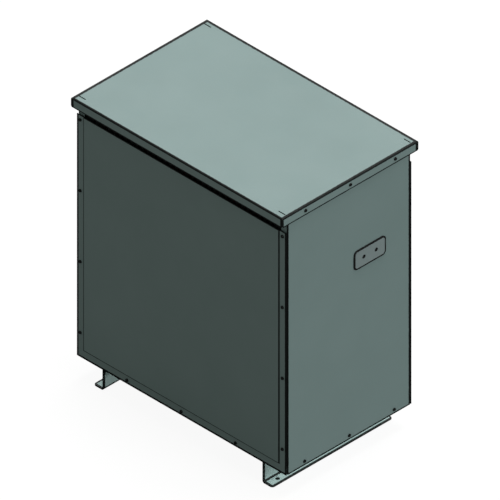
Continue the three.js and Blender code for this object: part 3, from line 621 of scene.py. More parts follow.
# A box of painted-shade edges from corners and widths in millimetres; a width is how far the painted shade
# goes from that face.
def lineBox(low, high, lowWidth, highWidth):
    return tuple(tuple(np.array(values, float) * mm) for values in (low, high, lowWidth, highWidth))


materials = {name: makeMaterial(name, name) for name in finishes}
print("materials ready")


cutPast = 1  # how far a cutting shape runs past the faces it opens
threeAcross = (-1, 0, 1)
screwHead = {"radius": 4.6, "height": 3.2, "washer": 0.7, "rim": 4.55, "shank": 2.1, "dish": 0.35}
screwReach = {"clear": 0.3, "cover": 2.6, "panel": 10, "end": 10}  # off the sheet, and in through it


# A row of screws: one bolt at each place, seated just off the face and reaching in behind it.
def screwRow(name, node, body, axis, places, face, outward, reach):
    seat, tip = face + outward * screwReach["clear"], face - outward * reach
    surfaces = [hexBolt(axis, place, seat, outward, screwHead, tip) for place in places]
    addPiece(name, surfaces, body, materials["screwSteel"], (node,))


coverShape = {
    "sheet": 1.9, "bend": 4.0, "plan": 1.2, "flat": 1.0, "lipCorner": 3.5, "lipBand": 4.0, "lipEase": 0.2,
    "slotLength": 25, "slotWidth": 3.6, "slotCorner": 1.6, "slotEdge": 0.1, "slotFromEnd": 9.2,
    "slotFromCentre": 225.5, "edge": 0.3, "lines": ((12, 6.2, 4), (8.5, 11.5, 5)),
}
lipSteps = np.array([0.3, 0.8, 1.6, 2.6, 3.6, 6, 30])  # the lip's points, by distance from a corner
cornerSteps = 5


# One face of the cover as (inset, height): up the lip, round a quarter turn of the radius, and onto the top.
def coverProfile(low, high, radius, depth):
    turn = np.linspace(0, math.pi / 2, 9)
    bendStart, flat = high[2] - coverShape["bend"], coverShape["flat"]
    inset = np.concatenate([[0, 0, 0], radius * (1 - np.cos(turn)), [radius + flat]]) + depth
    height = np.concatenate([
        [low[2], low[2] + coverShape["lipBand"], bendStart - flat], bendStart + radius * np.sin(turn),
        [high[2] - depth],
    ])
    return inset, height


# The cover's outline drawn in by an inset: round corners joined by straight sides.
def coverOutline(size, inset):
    loop, _ = roundedLoop(*(size - 2 * inset), max(coverShape["plan"] - inset, 0.0), cornerSteps)
    quarters = loop.reshape(4, cornerSteps, 2)
    runs = []
    for quarter, following in zip(quarters, np.roll(quarters, -1, axis=0)):
        start, end = quarter[-1], following[0]
        length = np.linalg.norm(end - start)
        step = np.concatenate([lipSteps, (length - lipSteps)[::-1]])[:, None] / length
        runs += [quarter, start + (end - start) * step]
    return np.concatenate(runs)


# The cover's skin: the outline at each inset and height, down the outside and up the inside. The lip's lower
# edge lifts near each corner by the sagitta of the corner's arc.
def makeTopCover():
    low, high = cadBounds("top_cover")
    shape = coverShape
    middle, size = (low + high)[:2] / 2, (high - low)[:2]
    outerInset, outerHeight = coverProfile(low, high, shape["bend"], 0)
    innerInset, innerHeight = coverProfile(low, high, shape["bend"] - shape["sheet"], shape["sheet"])
    insets = np.concatenate([outerInset[::-1], innerInset])
    heights = np.concatenate([outerHeight[::-1], innerHeight])
    flat = np.array([coverOutline(size, inset) for inset in insets])
    away = np.tile(np.concatenate([np.zeros(cornerSteps), lipSteps, lipSteps[::-1]]), 4)
    arc = shape["lipCorner"] ** 2 - np.clip(shape["lipCorner"] - away, 0, None) ** 2
    lift = shape["lipCorner"] - np.sqrt(np.clip(arc, 0, None))
    heights = np.repeat(heights[:, None], flat.shape[1], axis=1)
    fromEdge = heights - low[2]
    lifted = np.maximum(heights, low[2] + lift + fromEdge * shape["lipEase"])
    heights = np.where(fromEdge < shape["lipBand"] + shape["flat"] / 2, lifted, heights)
    shell = gridSurface(standing(flat + middle, heights, "z"), wrapColumns=True, caps=True)
    slotMiddle = size[0] / 2 - shape["slotFromEnd"] - shape["slotLength"] / 2
    slotSize = (shape["slotLength"], shape["slotWidth"])
    slots = [
        slab("z", (end * slotMiddle, face * shape["slotFromCentre"]), slotSize,
             high[2] - shape["sheet"] - cutPast, high[2] + cutPast, shape["slotCorner"], shape["slotEdge"])
        for _, end in sides for _, face in faces
    ]
    # The cover's paint carries painted shade along its edges and along the band under its lip.
    paint = makeMaterial("coverPaint", "casePaint", [lineBox(low, high, *shape["lines"])])
    addPiece("top_cover_sheet", [shell], "cover", paint, ("top_cover",), cuts=slots,
             edge=shape["edge"])


endScrews = {"pitch": 161.4, "height": 14}


def makeCoverScrews(side, end):
    node = f"{side}_cover_screws"
    depth, height = middleOf(f"{side}_end_panel")[1], middleOf(node)[2]
    places = [(depth + k * endScrews["pitch"], height) for k in threeAcross]
    screwRow(f"{side}_cover_screw_row", node, "cover", "x", places, outerPlane("top_cover", 0, end), end,
             screwReach["cover"])


panelShape = {
    "sheet": 1.9, "sideStrip": 25.4, "bottomStrip": 27.1, "rise": 2.2, "shoulder": 2.4, "points": 31,
    "edge": 0.35, "outlineWidth": 2.6, "outlinePastTop": 300,
    "lines": {"front": ((7, 6, 7), (5.6, 6, 3)), "back": ((5.6, 6, 7), (7, 6, 3))},
}


# A smooth step: three times the square less twice the cube of the distance over the shoulder's width.
def smoothStep(distance):
    part = np.clip(distance / panelShape["shoulder"], 0, 1)
    return part * part * (3 - 2 * part)


# A pressed panel: the face stands out by the rise times a smooth step in from each side and from the bottom.
def makePanel(side, outward):
    low, high = cadBounds(f"{side}_panel")
    shape = panelShape
    strip = outerPlane(f"{side}_panel", 1, outward) - outward * shape["rise"]
    halfField, fieldBottom = high[0] - shape["sideStrip"], low[2] + shape["bottomStrip"]
    across = np.linspace(0, 1, 9) * shape["shoulder"]
    evenX, evenZ = (np.linspace(low[axis], high[axis], shape["points"]) for axis in (0, 2))
    xs = np.concatenate([evenX, halfField - across, across - halfField])
    zs = np.concatenate([evenZ, fieldBottom + across])
    x, z = np.meshgrid(np.unique(np.round(xs, 4)), np.unique(np.round(zs, 4)), indexing="ij")
    rise = shape["rise"] * smoothStep(halfField - np.abs(x)) * smoothStep(z - fieldBottom)
    front = np.stack([x, strip + outward * rise, z], axis=-1)
    back = front - np.array([0, outward * shape["sheet"], 0])
    fieldLow = tuple(np.array([-halfField, low[1], fieldBottom]) * mm)
    fieldHigh = tuple(np.array([halfField, high[1], high[2] + shape["outlinePastTop"]]) * mm)
    # The panel's paint carries painted shade along its edges and side faces, and round its raised field.
    paint = makeMaterial(f"{side}PanelPaint", "casePaint", [lineBox(low, high, *shape["lines"][side])],
                         [(fieldLow, fieldHigh, shape["outlineWidth"] * mm)])
    addPiece(f"{side}_panel_sheet", [closedSheet(front, back)], f"{side}_panel", paint,
             (f"{side}_panel",), edge=shape["edge"])


sideScrews = {"inset": 12.9, "lowest": 77.3, "pitch": 221.1, "count": 4}
bottomScrews = {"height": 12.7, "pitch": 195.5}


def makePanelScrews(side, outward):
    low, high = cadBounds(f"{side}_panel")
    strip = outerPlane(f"{side}_panel", 1, outward) - outward * panelShape["rise"]
    x = high[0] - sideScrews["inset"]
    heights = low[2] + sideScrews["lowest"] + sideScrews["pitch"] * np.arange(sideScrews["count"])
    places = [(end * x, z) for z in heights for _, end in sides]
    places += [(k * bottomScrews["pitch"], low[2] + bottomScrews["height"]) for k in threeAcross]
    screwRow(f"{side}_panel_screw_set", f"{side}_panel_screws", f"{side}_panel", "y", places, strip, outward,
             screwReach["panel"])


gasketShape = {"width": 16, "inset": 1, "inside": 2, "edge": 0.4}


def makeGasket():
    low, high = cadBounds("front_panel_gasket")
    width = gasketShape["width"]
    x, bottom = high[0] - gasketShape["inset"] - width / 2, low[2] + width / 2
    corners = [(-x, high[2]), (-x, bottom), (x, bottom), (x, high[2])]
    strip = foldedSheet(corners, width, gasketShape["inside"], "y", low[1], high[1])
    addPiece("front_panel_foam_strip", [strip], "front_panel", materials["gasketRubber"],
             ("front_panel_gasket",), edge=gasketShape["edge"])


endShape = {
    "sheet": 1.9, "flange": 25, "inside": 1.0, "notch": 25.8, "notchFrom": 2.4, "edge": 0.35,
    "topFlange": 20, "topClear": 0.6, "topInset": 6, "topCorner": 3, "topEdge": 0.4,
    "lines": {"left": ((4, 8, 5), (2, 4, 3)), "right": ((2, 4, 5), (4, 8, 3))},
}


# A folded end: a web with a flange along each side, and a flange welded across its top.
def makeEndPanel(side, end):
    node = f"{side}_end_panel"
    low, high = cadBounds(node)
    shape = endShape
    outer, line = outerPlane(node, 0, end), endShape["sheet"] / 2
    flangeX, webX = outer - end * shape["flange"], outer - end * line
    front, back = low[1] + line, high[1] - line
    corners = [(flangeX, front), (webX, front), (webX, back), (flangeX, back)]

    def startOf(ring):  # the flanges stop above the base pan's own flange
        return np.where(np.abs(ring[:, 0]) < abs(outer) - shape["notchFrom"], low[2] + shape["notch"], low[2])

    web = foldedSheet(corners, shape["sheet"], shape["inside"], "z", low[2], high[2], startOf)
    topMiddle = (outer - end * (shape["topFlange"] + shape["topClear"]) / 2, (low[1] + high[1]) / 2)
    topSize = (shape["topFlange"] - shape["topClear"], high[1] - low[1] - 2 * shape["topInset"])
    top = slab("z", topMiddle, topSize, high[2] - shape["sheet"], high[2], shape["topCorner"],
               shape["topEdge"])
    # The end's paint carries painted shade along its edges.
    paint = makeMaterial(f"{side}EndPaint", "casePaint", [lineBox(low, high, *shape["lines"][side])])
    cuts = []
    if end > 0:
        inside, outside = outer - shape["sheet"] - cutPast, outer + cutPast
        cuts = [rod("x", place, padShape["bore"], inside, outside) for place in padHoles()]
    addPiece(f"{side}_end_sheet", [web, top], "case", paint, (node,), edge=shape["edge"],
             cuts=cuts)


def makeEndScrews(side, end):
    node = f"{side}_end_panel"
    low, _ = cadBounds(node)
    places = [(middleOf(node)[1] + k * endScrews["pitch"], low[2] + endScrews["height"]) for k in threeAcross]
    screwRow(f"{side}_end_screw_row", f"{node}_screws", "case", "x", places, outerPlane(node, 0, end), end,
             screwReach["end"])


padShape = {"holeSpacing": 44.45, "bore": 5.9, "corner": 12, "edge": 0.4}
padSeal = {
    "bead": 1.0, "under": 1.0, "bedding": 0.25, "lap": 3.8, "proud": 0.5, "sunk": 0.5, "shoulder": 0.8,
    "crown": 0.7, "drop": 0.4,
}
padInsert = {"clear": 0.1, "wall": 1.0, "thread": 0.4, "behind": 5, "sunk": 0.4, "rings": 17}


def padHoles():
    middle = middleOf("ground_pad")
    return [(middle[1] + k * padShape["holeSpacing"] / 2, middle[2]) for k in (-1, 1)]


# The sealant round the plate: the plate's outline moved out, over a profile that laps onto the plate's face.
def padSealant(low, high):
    seal, thick = padSeal, high[0] - low[0]
    wall, lap, crest = seal["bead"] + seal["under"], seal["bead"] + seal["lap"], thick + seal["proud"]
    profile = [(0, 0), (wall, 0), (wall, thick - seal["shoulder"]), (lap, thick - seal["sunk"]), (lap, crest),
               (seal["crown"], crest), (0, thick - seal["drop"])]
    loop = (*(high - low)[1:] + 2 * seal["bead"], padShape["corner"] + seal["bead"])
    points, quads, _ = coilSurface(((low + high) / 2)[1:], loop, profile, steps=9)
    return points[:, [2, 0, 1]] + np.array([low[0] - seal["bedding"], 0, 0]), quads, []


# A threaded insert: the inner radius rises and falls by the thread's depth from ring to ring.
def padThread(place, low, high):
    outer = padShape["bore"] - padInsert["clear"]
    depth = np.linspace(low[0] - padInsert["behind"], high[0] - padInsert["sunk"], padInsert["rings"])
    thread = outer - padInsert["wall"] + padInsert["thread"] * (np.arange(padInsert["rings"]) % 2)
    profile = [(outer, depth[0]), (outer, depth[-1]), *zip(thread[::-1], depth[::-1]), (outer, depth[0])]
    return turned("x", place, profile, steps=30)


# The plate for a ground lug: rounded, bedded in sealant, with a threaded insert in each bore.
def makeGroundPad():
    low, high = cadBounds("ground_pad")
    plate = slab("x", middleOf("ground_pad")[1:], (high - low)[1:], low[0], high[0], padShape["corner"],
                 padShape["edge"], steps=9)
    bores = [rod("x", place, padShape["bore"], low[0] - cutPast, high[0] + cutPast, steps=36)
             for place in padHoles()]
    addPiece("ground_pad_plate", [plate], "case", materials["groundPlate"], ("ground_pad",),
             cuts=bores)
    addPiece("ground_pad_sealant", [padSealant(low, high)], "case",
             materials["gasketRubber"])
    inserts = [padThread(place, low, high) for place in padHoles()]
    addPiece("ground_pad_inserts", inserts, "case", materials["screwSteel"])


footShape = {
    "sheet": 4, "inside": 3, "flange": 32, "corner": 8, "cornerEdge": 0.2, "edge": 0.4, "bore": 6.5,
    "holeFromWeb": 14.4, "frontHole": 36, "holePitch": 361, "outlineSlack": 0.02,
    "lines": ((6, 6.5, 8), (6, 6, 2)),
    "webLines": {"left": ((5.6, 7, 5), (4, 6, 3)), "right": ((4, 7, 5), (4, 6, 3))},
}
# Painted shade: dark rubber plugs sit in the anchor holes so that the holes read as shaded bores.
holeShadePlug = {"inset": (0.1, 0.1, 0.7, 1.2), "height": (0.3, 2.4, 2.8, 2.0)}  # from the bore, and off the floor


# A bent rail: floor flange, upright web and top flange, with its plan corners rounded off.
def makeFootRail(side, end):
    node = f"{side}_foot_rail"
    low, high = cadBounds(node)
    shape, line = footShape, footShape["sheet"] / 2
    outer, inner = outerPlane(node, 0, end), outerPlane(node, 0, -end)
    webOuter = outer - end * shape["flange"]
    web = webOuter - end * line
    corners = [(outer, low[2] + line), (web, low[2] + line), (web, high[2] - line), (inner, high[2] - line)]
    rail = foldedSheet(corners, shape["sheet"], shape["inside"], "y", low[1], high[1])
    size = (high - low)[:2] + shape["outlineSlack"]
    outline = slab("z", ((low + high) / 2)[:2], size, low[2] - cutPast, high[2] + cutPast,
                   shape["corner"], shape["cornerEdge"], steps=9)
    front = low[1] + shape["frontHole"]
    places = [(webOuter + end * shape["holeFromWeb"], y) for y in (front, front + shape["holePitch"])]
    holes = [rod("z", place, shape["bore"], low[2] - cutPast, shape["sheet"] + cutPast, steps=40)
             for place in places]
    webLow, webHigh = low.copy(), high.copy()
    (webHigh if end > 0 else webLow)[0] = webOuter
    webLow[2] = shape["sheet"]
    # The rail's paint carries painted shade along the edges of the rail and of its web.
    lines = [lineBox(low, high, *shape["lines"]), lineBox(webLow, webHigh, *shape["webLines"][side])]
    # The plugs stand in for the shade inside the anchor holes.
    heights = holeShadePlug["height"]
    profile = [(0, heights[0]), *zip(shape["bore"] - np.array(holeShadePlug["inset"]), heights), (0, heights[-1])]
    plugs = [turned("z", place, profile) for place in places]
    addPiece(f"{side}_foot_hole_shade_plugs", plugs, "case", materials["gasketRubber"])
    paint = makeMaterial(f"{side}FootPaint", "casePaint", lines)
    addPiece(f"{side}_foot_rail_sheet", [rail], "case", paint, (node,), edge=shape["edge"],
             within=[outline], cuts=holes)


entryShape = {"corner": 4, "edge": 0.5, "screwInset": 5, "shank": 6}
entryHead = {**screwHead, "radius": 3.6, "rim": 3.5, "height": 2.4}


def makeBase():
    refined("base_pan_tray", "base_pan", "case", materials["casePaint"])
    low, high = cadBounds("cable_entry_plate")
    plate = slab("z", ((low + high) / 2)[:2], (high - low)[:2], low[2], high[2], entryShape["corner"],
                 entryShape["edge"])
    addPiece("cable_entry_cover", [plate], "case", materials["casePaint"],
             ("cable_entry_plate",))
    inset = entryShape["screwInset"]
    places = [(x, y) for x in (low[0] + inset, high[0] - inset) for y in (low[1] + inset, high[1] - inset)]
    screws = [hexBolt("z", place, high[2], 1, entryHead, low[2] - entryShape["shank"]) for place in places]
    addPiece("cable_entry_screws", screws, "case", materials["screwSteel"])


headerShape = {"sheet": 1.9, "inside": 1, "edge": 0.3, "guardEdge": 0.3}


def makeHeader(side, outward):
    node = f"{side}_header_rail"
    low, high = cadBounds(node)
    half = headerShape["sheet"] / 2
    web, inner = outerPlane(node, 1, outward) - outward * half, outerPlane(node, 1, -outward)
    corners = [(web, low[2]), (web, high[2] - half), (inner, high[2] - half)]
    sheet = foldedSheet(corners, headerShape["sheet"], headerShape["inside"], "x", low[0], high[0])
    addPiece(f"{side}_header_sheet", [sheet], "case", materials["casePaint"], (node,),
             edge=headerShape["edge"])
    # The guard's black stands in for the shade in the slot under the lip.
    refined(f"{side}_outlet_guard", f"{side}_outlet_screen", "case", materials["guardBlack"],
            headerShape["guardEdge"])


makeTopCover()
for sideName, direction in sides:
    makeCoverScrews(sideName, direction)
makeGasket()
for sideName, direction in faces:
    makePanel(sideName, direction)
    makePanelScrews(sideName, direction)
    makeHeader(sideName, direction)
for sideName, direction in sides:
    makeEndPanel(sideName, direction)
    makeEndScrews(sideName, direction)
    makeFootRail(sideName, direction)
makeGroundPad()
makeBase()
print("case ready")


coreStack = {"packet": 2.5, "inset": 0.35, "gap": 0.04}


# Laminations stacked from front to back: every other packet is drawn in a little at its edges.
def makeLaminated(name, node):
    low, high = cadBounds(node)
    count = int(round((high[1] - low[1]) / coreStack["packet"]))
    front = np.linspace(low[1], high[1], count + 1)
    inset = coreStack["inset"] * (np.arange(count) % 2)
    lows = np.stack([low[0] + inset, front[:-1] + coreStack["gap"], low[2] + inset], axis=1)
    highs = np.stack([high[0] - inset, front[1:] - coreStack["gap"], high[2] - inset], axis=1)
    addPiece(name, [blocks(lows, highs)], "case", materials["coreSteel"], (node,))


clampShape = {
    "sheet": 5, "inside": 4, "edge": 0.7, "boltX": (-290, -100, 100, 290),
    "boltHeight": {"lower": 52, "upper": 44},
}
clampHead = {"radius": 9.6, "height": 8, "washer": 1.6, "rim": 12, "shank": 5, "dish": 0.5}


def makeClamp(level, side, outward):
    node = f"core_clamp_{level}_{side}"
    low, high = cadBounds(node)
    half = clampShape["sheet"] / 2
    tip, web = outerPlane(node, 1, outward), outerPlane(node, 1, -outward) + outward * half
    flange, far = (low[2] + half, high[2]) if level == "lower" else (high[2] - half, low[2])
    corners = [(tip, flange), (web, flange), (web, far)]
    sheet = foldedSheet(corners, clampShape["sheet"], clampShape["inside"], "x", low[0], high[0])
    addPiece(f"{node}_angle", [sheet], "case", materials["clampPaint"], (node,),
             edge=clampShape["edge"])
    height, seat = low[2] + clampShape["boltHeight"][level], web + outward * half
    bolts = [hexBolt("y", (x, height), seat, outward, clampHead, 0) for x in clampShape["boltX"]]
    addPiece(f"{node}_bolts", bolts, "case", materials["screwSteel"])


tieRod = {"x": 312, "y": 80, "radius": 5, "below": 4, "above": 14, "nutShank": 1}


# Threaded rods that pull the upper clamps down to the lower ones, with a nut and washer at each flange.
def makeTieRods():
    lowerTop = cadBounds("core_clamp_lower_front")[0][2] + clampShape["sheet"]
    upperTop = cadBounds("core_clamp_upper_front")[1][2]
    surfaces = []
    for _, end in sides:
        for _, face in faces:
            place = (end * tieRod["x"], face * tieRod["y"])
            surfaces.append(threadedRod("z", place, tieRod["radius"], lowerTop - tieRod["below"],
                                        upperTop + tieRod["above"]))
            for seat in (lowerTop, upperTop):
                surfaces.append(hexBolt("z", place, seat, 1, clampHead, seat - tieRod["nutShank"]))
    addPiece("clamp_tie_rods", surfaces, "case", materials["screwSteel"])


mountPad = {"corner": 5, "rings": 25, "grooves": 3, "groove": 1.1, "skin": 0.2, "edge": 0.3}
mountHead = {"radius": 10.5, "height": 8, "washer": 1.8, "rim": 12.5, "shank": 5.9, "dish": 0.6}
mountNut = {**mountHead, "height": 10}
mountRod = {"radius": 5.6, "fromRail": 4.3, "headShank": 2, "nutShank": 1, "start": 8}


# A rubber pad: its outline is drawn in by a raised cosine at each groove. A bolt goes down through it.
def makeMounting(hand, side):
    node, bolt = f"isolation_pad_{hand}_{side}", f"mounting_bolt_{hand}_{side}"
    low, high = cadBounds(node)
    along = np.linspace(low[2], high[2], mountPad["rings"])
    wave = np.cos(np.linspace(0, 2 * math.pi * mountPad["grooves"], mountPad["rings"]))
    inset = mountPad["groove"] * (0.5 - 0.5 * wave) + mountPad["skin"]
    loop, normal = roundedLoop(*(high - low)[:2], mountPad["corner"], steps=6)
    flat = ((low + high) / 2)[:2] + loop[None] - normal[None] * inset[:, None, None]
    pad = gridSurface(standing(flat, along[:, None], "z"), wrapColumns=True, caps=True)
    addPiece(f"{node}_block", [pad], "case", materials["mountRubber"], (node,),
             edge=mountPad["edge"])
    boltLow, boltHigh = cadBounds(bolt)
    place = ((boltLow + boltHigh) / 2)[:2]
    nutSeat = cadBounds("left_foot_rail")[1][2] - mountRod["fromRail"]
    surfaces = [
        hexBolt("z", place, boltHigh[2] - mountHead["height"], 1, mountHead, nutSeat - mountRod["headShank"]),
        hexBolt("z", place, nutSeat, -1, mountNut, nutSeat + mountRod["nutShank"]),
        threadedRod("z", place, mountRod["radius"], boltLow[2], nutSeat - mountRod["start"]),
    ]
    addPiece(f"{bolt}_set", surfaces, "case", materials["screwSteel"], (bolt,))


for level in ("lower", "upper"):
    makeLaminated(f"core_yoke_{level}_stack", f"core_yoke_{level}")
    for sideName, direction in faces:
        makeClamp(level, sideName, direction)
for phase in phases:
    makeLaminated(f"core_leg_{phase}_stack", f"core_leg_{phase}")
makeTieRods()
for handName, _ in sides:
    for sideName, _ in faces:
        makeMounting(handName, sideName)
print("core ready")


outerCoil = {"corner": 54, "wall": 18, "pitch": 5.5, "bulge": 1.5, "samples": 6, "layers": 4}
innerCoil = {"corner": 28, "wall": 18, "pitch": 22, "bulge": 0.6, "samples": 4, "layers": 9}
turnFullness = 0.94  # how near to a half circle each turn comes
endSamples = 5


# Round turns side by side: over each pitch the surface falls away from its crest as a half circle does.
def turnsOf(count, samples, bulge):
    part = (np.arange(count * samples) + 0.5) / samples
    across = 2 * (part % 1) - 1
    return part / count, bulge * (1 - np.sqrt(1 - turnFullness * across**2))


# The closed profile of a coil: rippled outer wall up, rippled top inwards, plain inner wall, rippled bottom.
def makeCoil(name, node, shape, material):
    low, high = cadBounds(node)
    wall = shape["wall"]
    rise, dip = turnsOf(int((high[2] - low[2]) / shape["pitch"]), shape["samples"], shape["bulge"])
    layer, sink = turnsOf(shape["layers"], endSamples, shape["bulge"])
    outer = np.stack([dip, low[2] + rise * (high[2] - low[2])], axis=1)
    top = np.stack([layer * wall, high[2] - sink], axis=1)
    inner = np.array([[wall, high[2] - 1], [wall, low[2] + 1]])
    bottom = np.stack([wall - layer * wall, low[2] + sink], axis=1)
    profile = np.concatenate([outer, top, inner, bottom])
    coil = coilSurface(((low + high) / 2)[:2], (*(high - low)[:2], shape["corner"]), profile)
    addPiece(name, [coil], "case", material, (node,), smooth=60)


formerShape = {"clear": 0.6, "wall": 2.4, "corner": 9, "short": 4}


# A thin board tube round each leg that carries the inner winding.
def makeFormer(phase):
    low, high = cadBounds(f"low_voltage_winding_{phase}")
    legLow, legHigh = cadBounds(f"core_leg_{phase}")
    size = (high - low)[:2] - 2 * (innerCoil["wall"] + formerShape["clear"])
    bottom, top = legLow[2] + formerShape["short"], legHigh[2] - formerShape["short"]
    profile = [(0, bottom), (0, top), (formerShape["wall"], top), (formerShape["wall"], bottom)]
    tube = coilSurface(((low + high) / 2)[:2], (*size, formerShape["corner"]), profile, steps=6)
    addPiece(f"winding_former_{phase}", [tube], "case", materials["formerBoard"])


stickShape = {"count": 16, "inset": 4, "halfDepth": 3.3, "halfWidth": 4, "past": 4, "edge": 0.6}


# Upright sticks that keep the air duct open, at even distances round the loop between the two windings.
def makeDuctSticks(phase):
    low, high = cadBounds(f"high_voltage_winding_{phase}")
    inset = outerCoil["wall"] + stickShape["inset"]
    middle, size = ((low + high) / 2)[:2], (high - low)[:2] - 2 * inset
    loop, normal = roundedLoop(*size, outerCoil["corner"] - inset, steps=12)
    closed, turn = np.concatenate([loop, loop[:1]]), np.concatenate([normal, normal[:1]])
    length = np.concatenate([[0], np.cumsum(np.linalg.norm(np.diff(closed, axis=0), axis=1))])
    spots = (np.arange(stickShape["count"]) + 0.5) / stickShape["count"] * length[-1]
    centre = np.stack([np.interp(spots, length, closed[:, k]) for k in (0, 1)], axis=1)
    outward = np.stack([np.interp(spots, length, turn[:, k]) for k in (0, 1)], axis=1)
    outward /= np.linalg.norm(outward, axis=1)[:, None]
    across = np.stack([-outward[:, 1], outward[:, 0]], axis=1)
    ring = np.array([[-1, -1], [1, -1], [1, 1], [-1, 1]])
    flat = (centre[:, None] + stickShape["halfDepth"] * ring[None, :, :1] * outward[:, None]
            + stickShape["halfWidth"] * ring[None, :, 1:] * across[:, None] + middle)
    ends = np.array([[low[2] - stickShape["past"]], [high[2] + stickShape["past"]]])
    sticks = [gridSurface(standing(np.stack([corners, corners]), ends, "z"), wrapColumns=True, caps=True)
              for corners in flat]
    addPiece(f"duct_sticks_{phase}", sticks, "case", materials["formerBoard"],
             edge=stickShape["edge"])


blockShape = {"fromCentre": 72, "size": (42, 76), "clear": 0.3, "corner": 3, "edge": 1}


# Blocks that hold the coils off the yokes, on both sides of the leg, below and above.
def makeCoilBlocks(phase):
    legLow, legHigh = cadBounds(f"core_leg_{phase}")
    coilLow, coilHigh = cadBounds(f"high_voltage_winding_{phase}")
    centre, clear = (legLow[0] + legHigh[0]) / 2, blockShape["clear"]
    spans = ((legLow[2], coilLow[2] - clear), (coilHigh[2] + clear, legHigh[2]))
    surfaces = [
        slab("z", (centre + end * blockShape["fromCentre"], 0), blockShape["size"], bottom, top,
             blockShape["corner"], blockShape["edge"])
        for _, end in sides for bottom, top in spans
    ]
    addPiece(f"coil_blocks_{phase}", surfaces, "case", materials["boardLaminate"])


for phase in phases:
    makeCoil(f"outer_coil_{phase}", f"high_voltage_winding_{phase}", outerCoil,
             materials["outerWinding"])
    makeCoil(f"inner_coil_{phase}", f"low_voltage_winding_{phase}", innerCoil,
             materials["innerWinding"])
    makeFormer(phase)
    makeDuctSticks(phase)
    makeCoilBlocks(phase)
print("windings ready")


tapShape = {
    "board": 6, "boardCorner": 6, "boardEdge": 0.8, "pivot": 340, "radius": 70, "step": 20, "eachWay": 2,
    "contact": 8, "rise": 3.3, "round": 0.8, "sunk": 0.5, "washer": 9, "lineStud": 475,
}
pivotStud = {"radius": 4, "short": 9.1, "pitch": 1.25, "depth": 0.3, "nutSink": 0.3, "nutShank": 0.1}
lineStud = {"radius": 6, "short": 0, "pitch": 1.75, "depth": 0.4}
nutHead = {"radius": 7, "height": 6, "washer": 0.8, "rim": 7, "shank": 3.9, "dish": 0.3}
lineNut = {"radius": 10, "height": 8, "washer": 1.2, "rim": 10, "shank": 5.8, "dish": 0.4}


# A board on the front of each outer winding, with an arc of round contacts, a pivot stud and a line stud.
def makeTapBoard(phase):
    node, shape = f"tap_board_{phase}", tapShape
    low, high = cadBounds(node)
    centre, front = (low[0] + high[0]) / 2, high[1] - shape["board"]
    board = slab("y", middleOf(node)[[0, 2]], (high - low)[[0, 2]], front, high[1], shape["boardCorner"],
                 shape["boardEdge"])
    addPiece(f"{node}_plate", [board], "case", materials["boardLaminate"], (node,))
    contact, top = shape["contact"], front - shape["rise"]
    foot = front + shape["sunk"]
    profile = [(0, foot), (contact, foot), (contact, top + shape["round"]), (contact - shape["round"], top),
               (0, top)]
    surfaces = []
    for k in range(-shape["eachWay"], shape["eachWay"] + 1):
        angle = math.radians(k * shape["step"])
        across, up = shape["radius"] * math.sin(angle), shape["radius"] * math.cos(angle)
        surfaces.append(turned("y", (centre + across, shape["pivot"] + up), profile))
    pivot, line = (centre, shape["pivot"]), (centre, shape["lineStud"])
    nutSeat = cadBounds(f"tap_link_{phase}")[0][1] + nutHead["height"] - pivotStud["nutSink"]
    for place, stud in ((pivot, pivotStud), (line, lineStud)):
        surfaces.append(threadedRod("y", place, stud["radius"], low[1] + stud["short"], front + cutPast,
                                    stud["pitch"], stud["depth"]))
    surfaces += [hexBolt("y", pivot, nutSeat, -1, nutHead, nutSeat + pivotStud["nutShank"]),
                 rod("y", pivot, shape["washer"], front + cutPast, top),
                 hexBolt("y", line, front, -1, lineNut, foot)]
    addPiece(f"tap_contacts_{phase}", surfaces, "case", materials["linkBrass"])


linkShape = {"thickness": 3, "bore": 4.8, "edge": 0.5, "nutShank": 1}


# The link is a bar with full round ends, bored for the pivot stud; its nut clamps it on a contact.
def makeTapLink(phase):
    node = f"tap_link_{phase}"
    low, high = cadBounds(node)
    centre, width = (low[0] + high[0]) / 2, (high - low)[0]
    face, back = high[1] - linkShape["thickness"], high[1]
    bar = slab("y", middleOf(node)[[0, 2]], (high - low)[[0, 2]], face, back, width / 2, linkShape["edge"],
               steps=12)
    bore = rod("y", (centre, tapShape["pivot"]), linkShape["bore"], face - cutPast, back + cutPast)
    nut = hexBolt("y", (centre, tapShape["pivot"] + tapShape["radius"]), face, -1, nutHead,
                  face + linkShape["nutShank"])
    piece = link(f"{node}_bar", meshFrom(node, [bar]))
    applyBoolean(piece, [bore])
    applyBoolean(piece, [nut], "UNION")
    dress(piece, node, materials["linkBrass"], (node,))


barShape = {
    "thickness": 6, "inside": 2, "stepRise": 9, "bore": 6.5, "holeSpacing": 44.45, "topHole": 20, "edge": 0.6,
}


def lugHoles(phase):
    low, high = cadBounds(f"bus_bar_{phase}")
    top = high[2] - barShape["topHole"]
    return [((low[0] + high[0]) / 2, z) for z in (top, top - barShape["holeSpacing"])]


# A bar that rises from the inner winding, steps out over the outer one and stands up to its lug holes.
def makeBusBar(phase):
    node = f"bus_bar_{phase}"
    low, high = cadBounds(node)
    half = barShape["thickness"] / 2
    outer, inner = low[1] + half, high[1] - half
    step = cadBounds(f"low_voltage_winding_{phase}")[1][2] + barShape["stepRise"]
    corners = [(inner, low[2]), (inner, step), (outer, step), (outer, high[2])]
    bar = foldedSheet(corners, barShape["thickness"], barShape["inside"], "x", low[0], high[0])
    front, back = low[1] - cutPast, low[1] + barShape["thickness"] + cutPast
    holes = [rod("y", place, barShape["bore"], front, back) for place in lugHoles(phase)]
    addPiece(f"{node}_copper", [bar], "case", materials["tinnedCopper"], (node,),
             edge=barShape["edge"], cuts=holes)


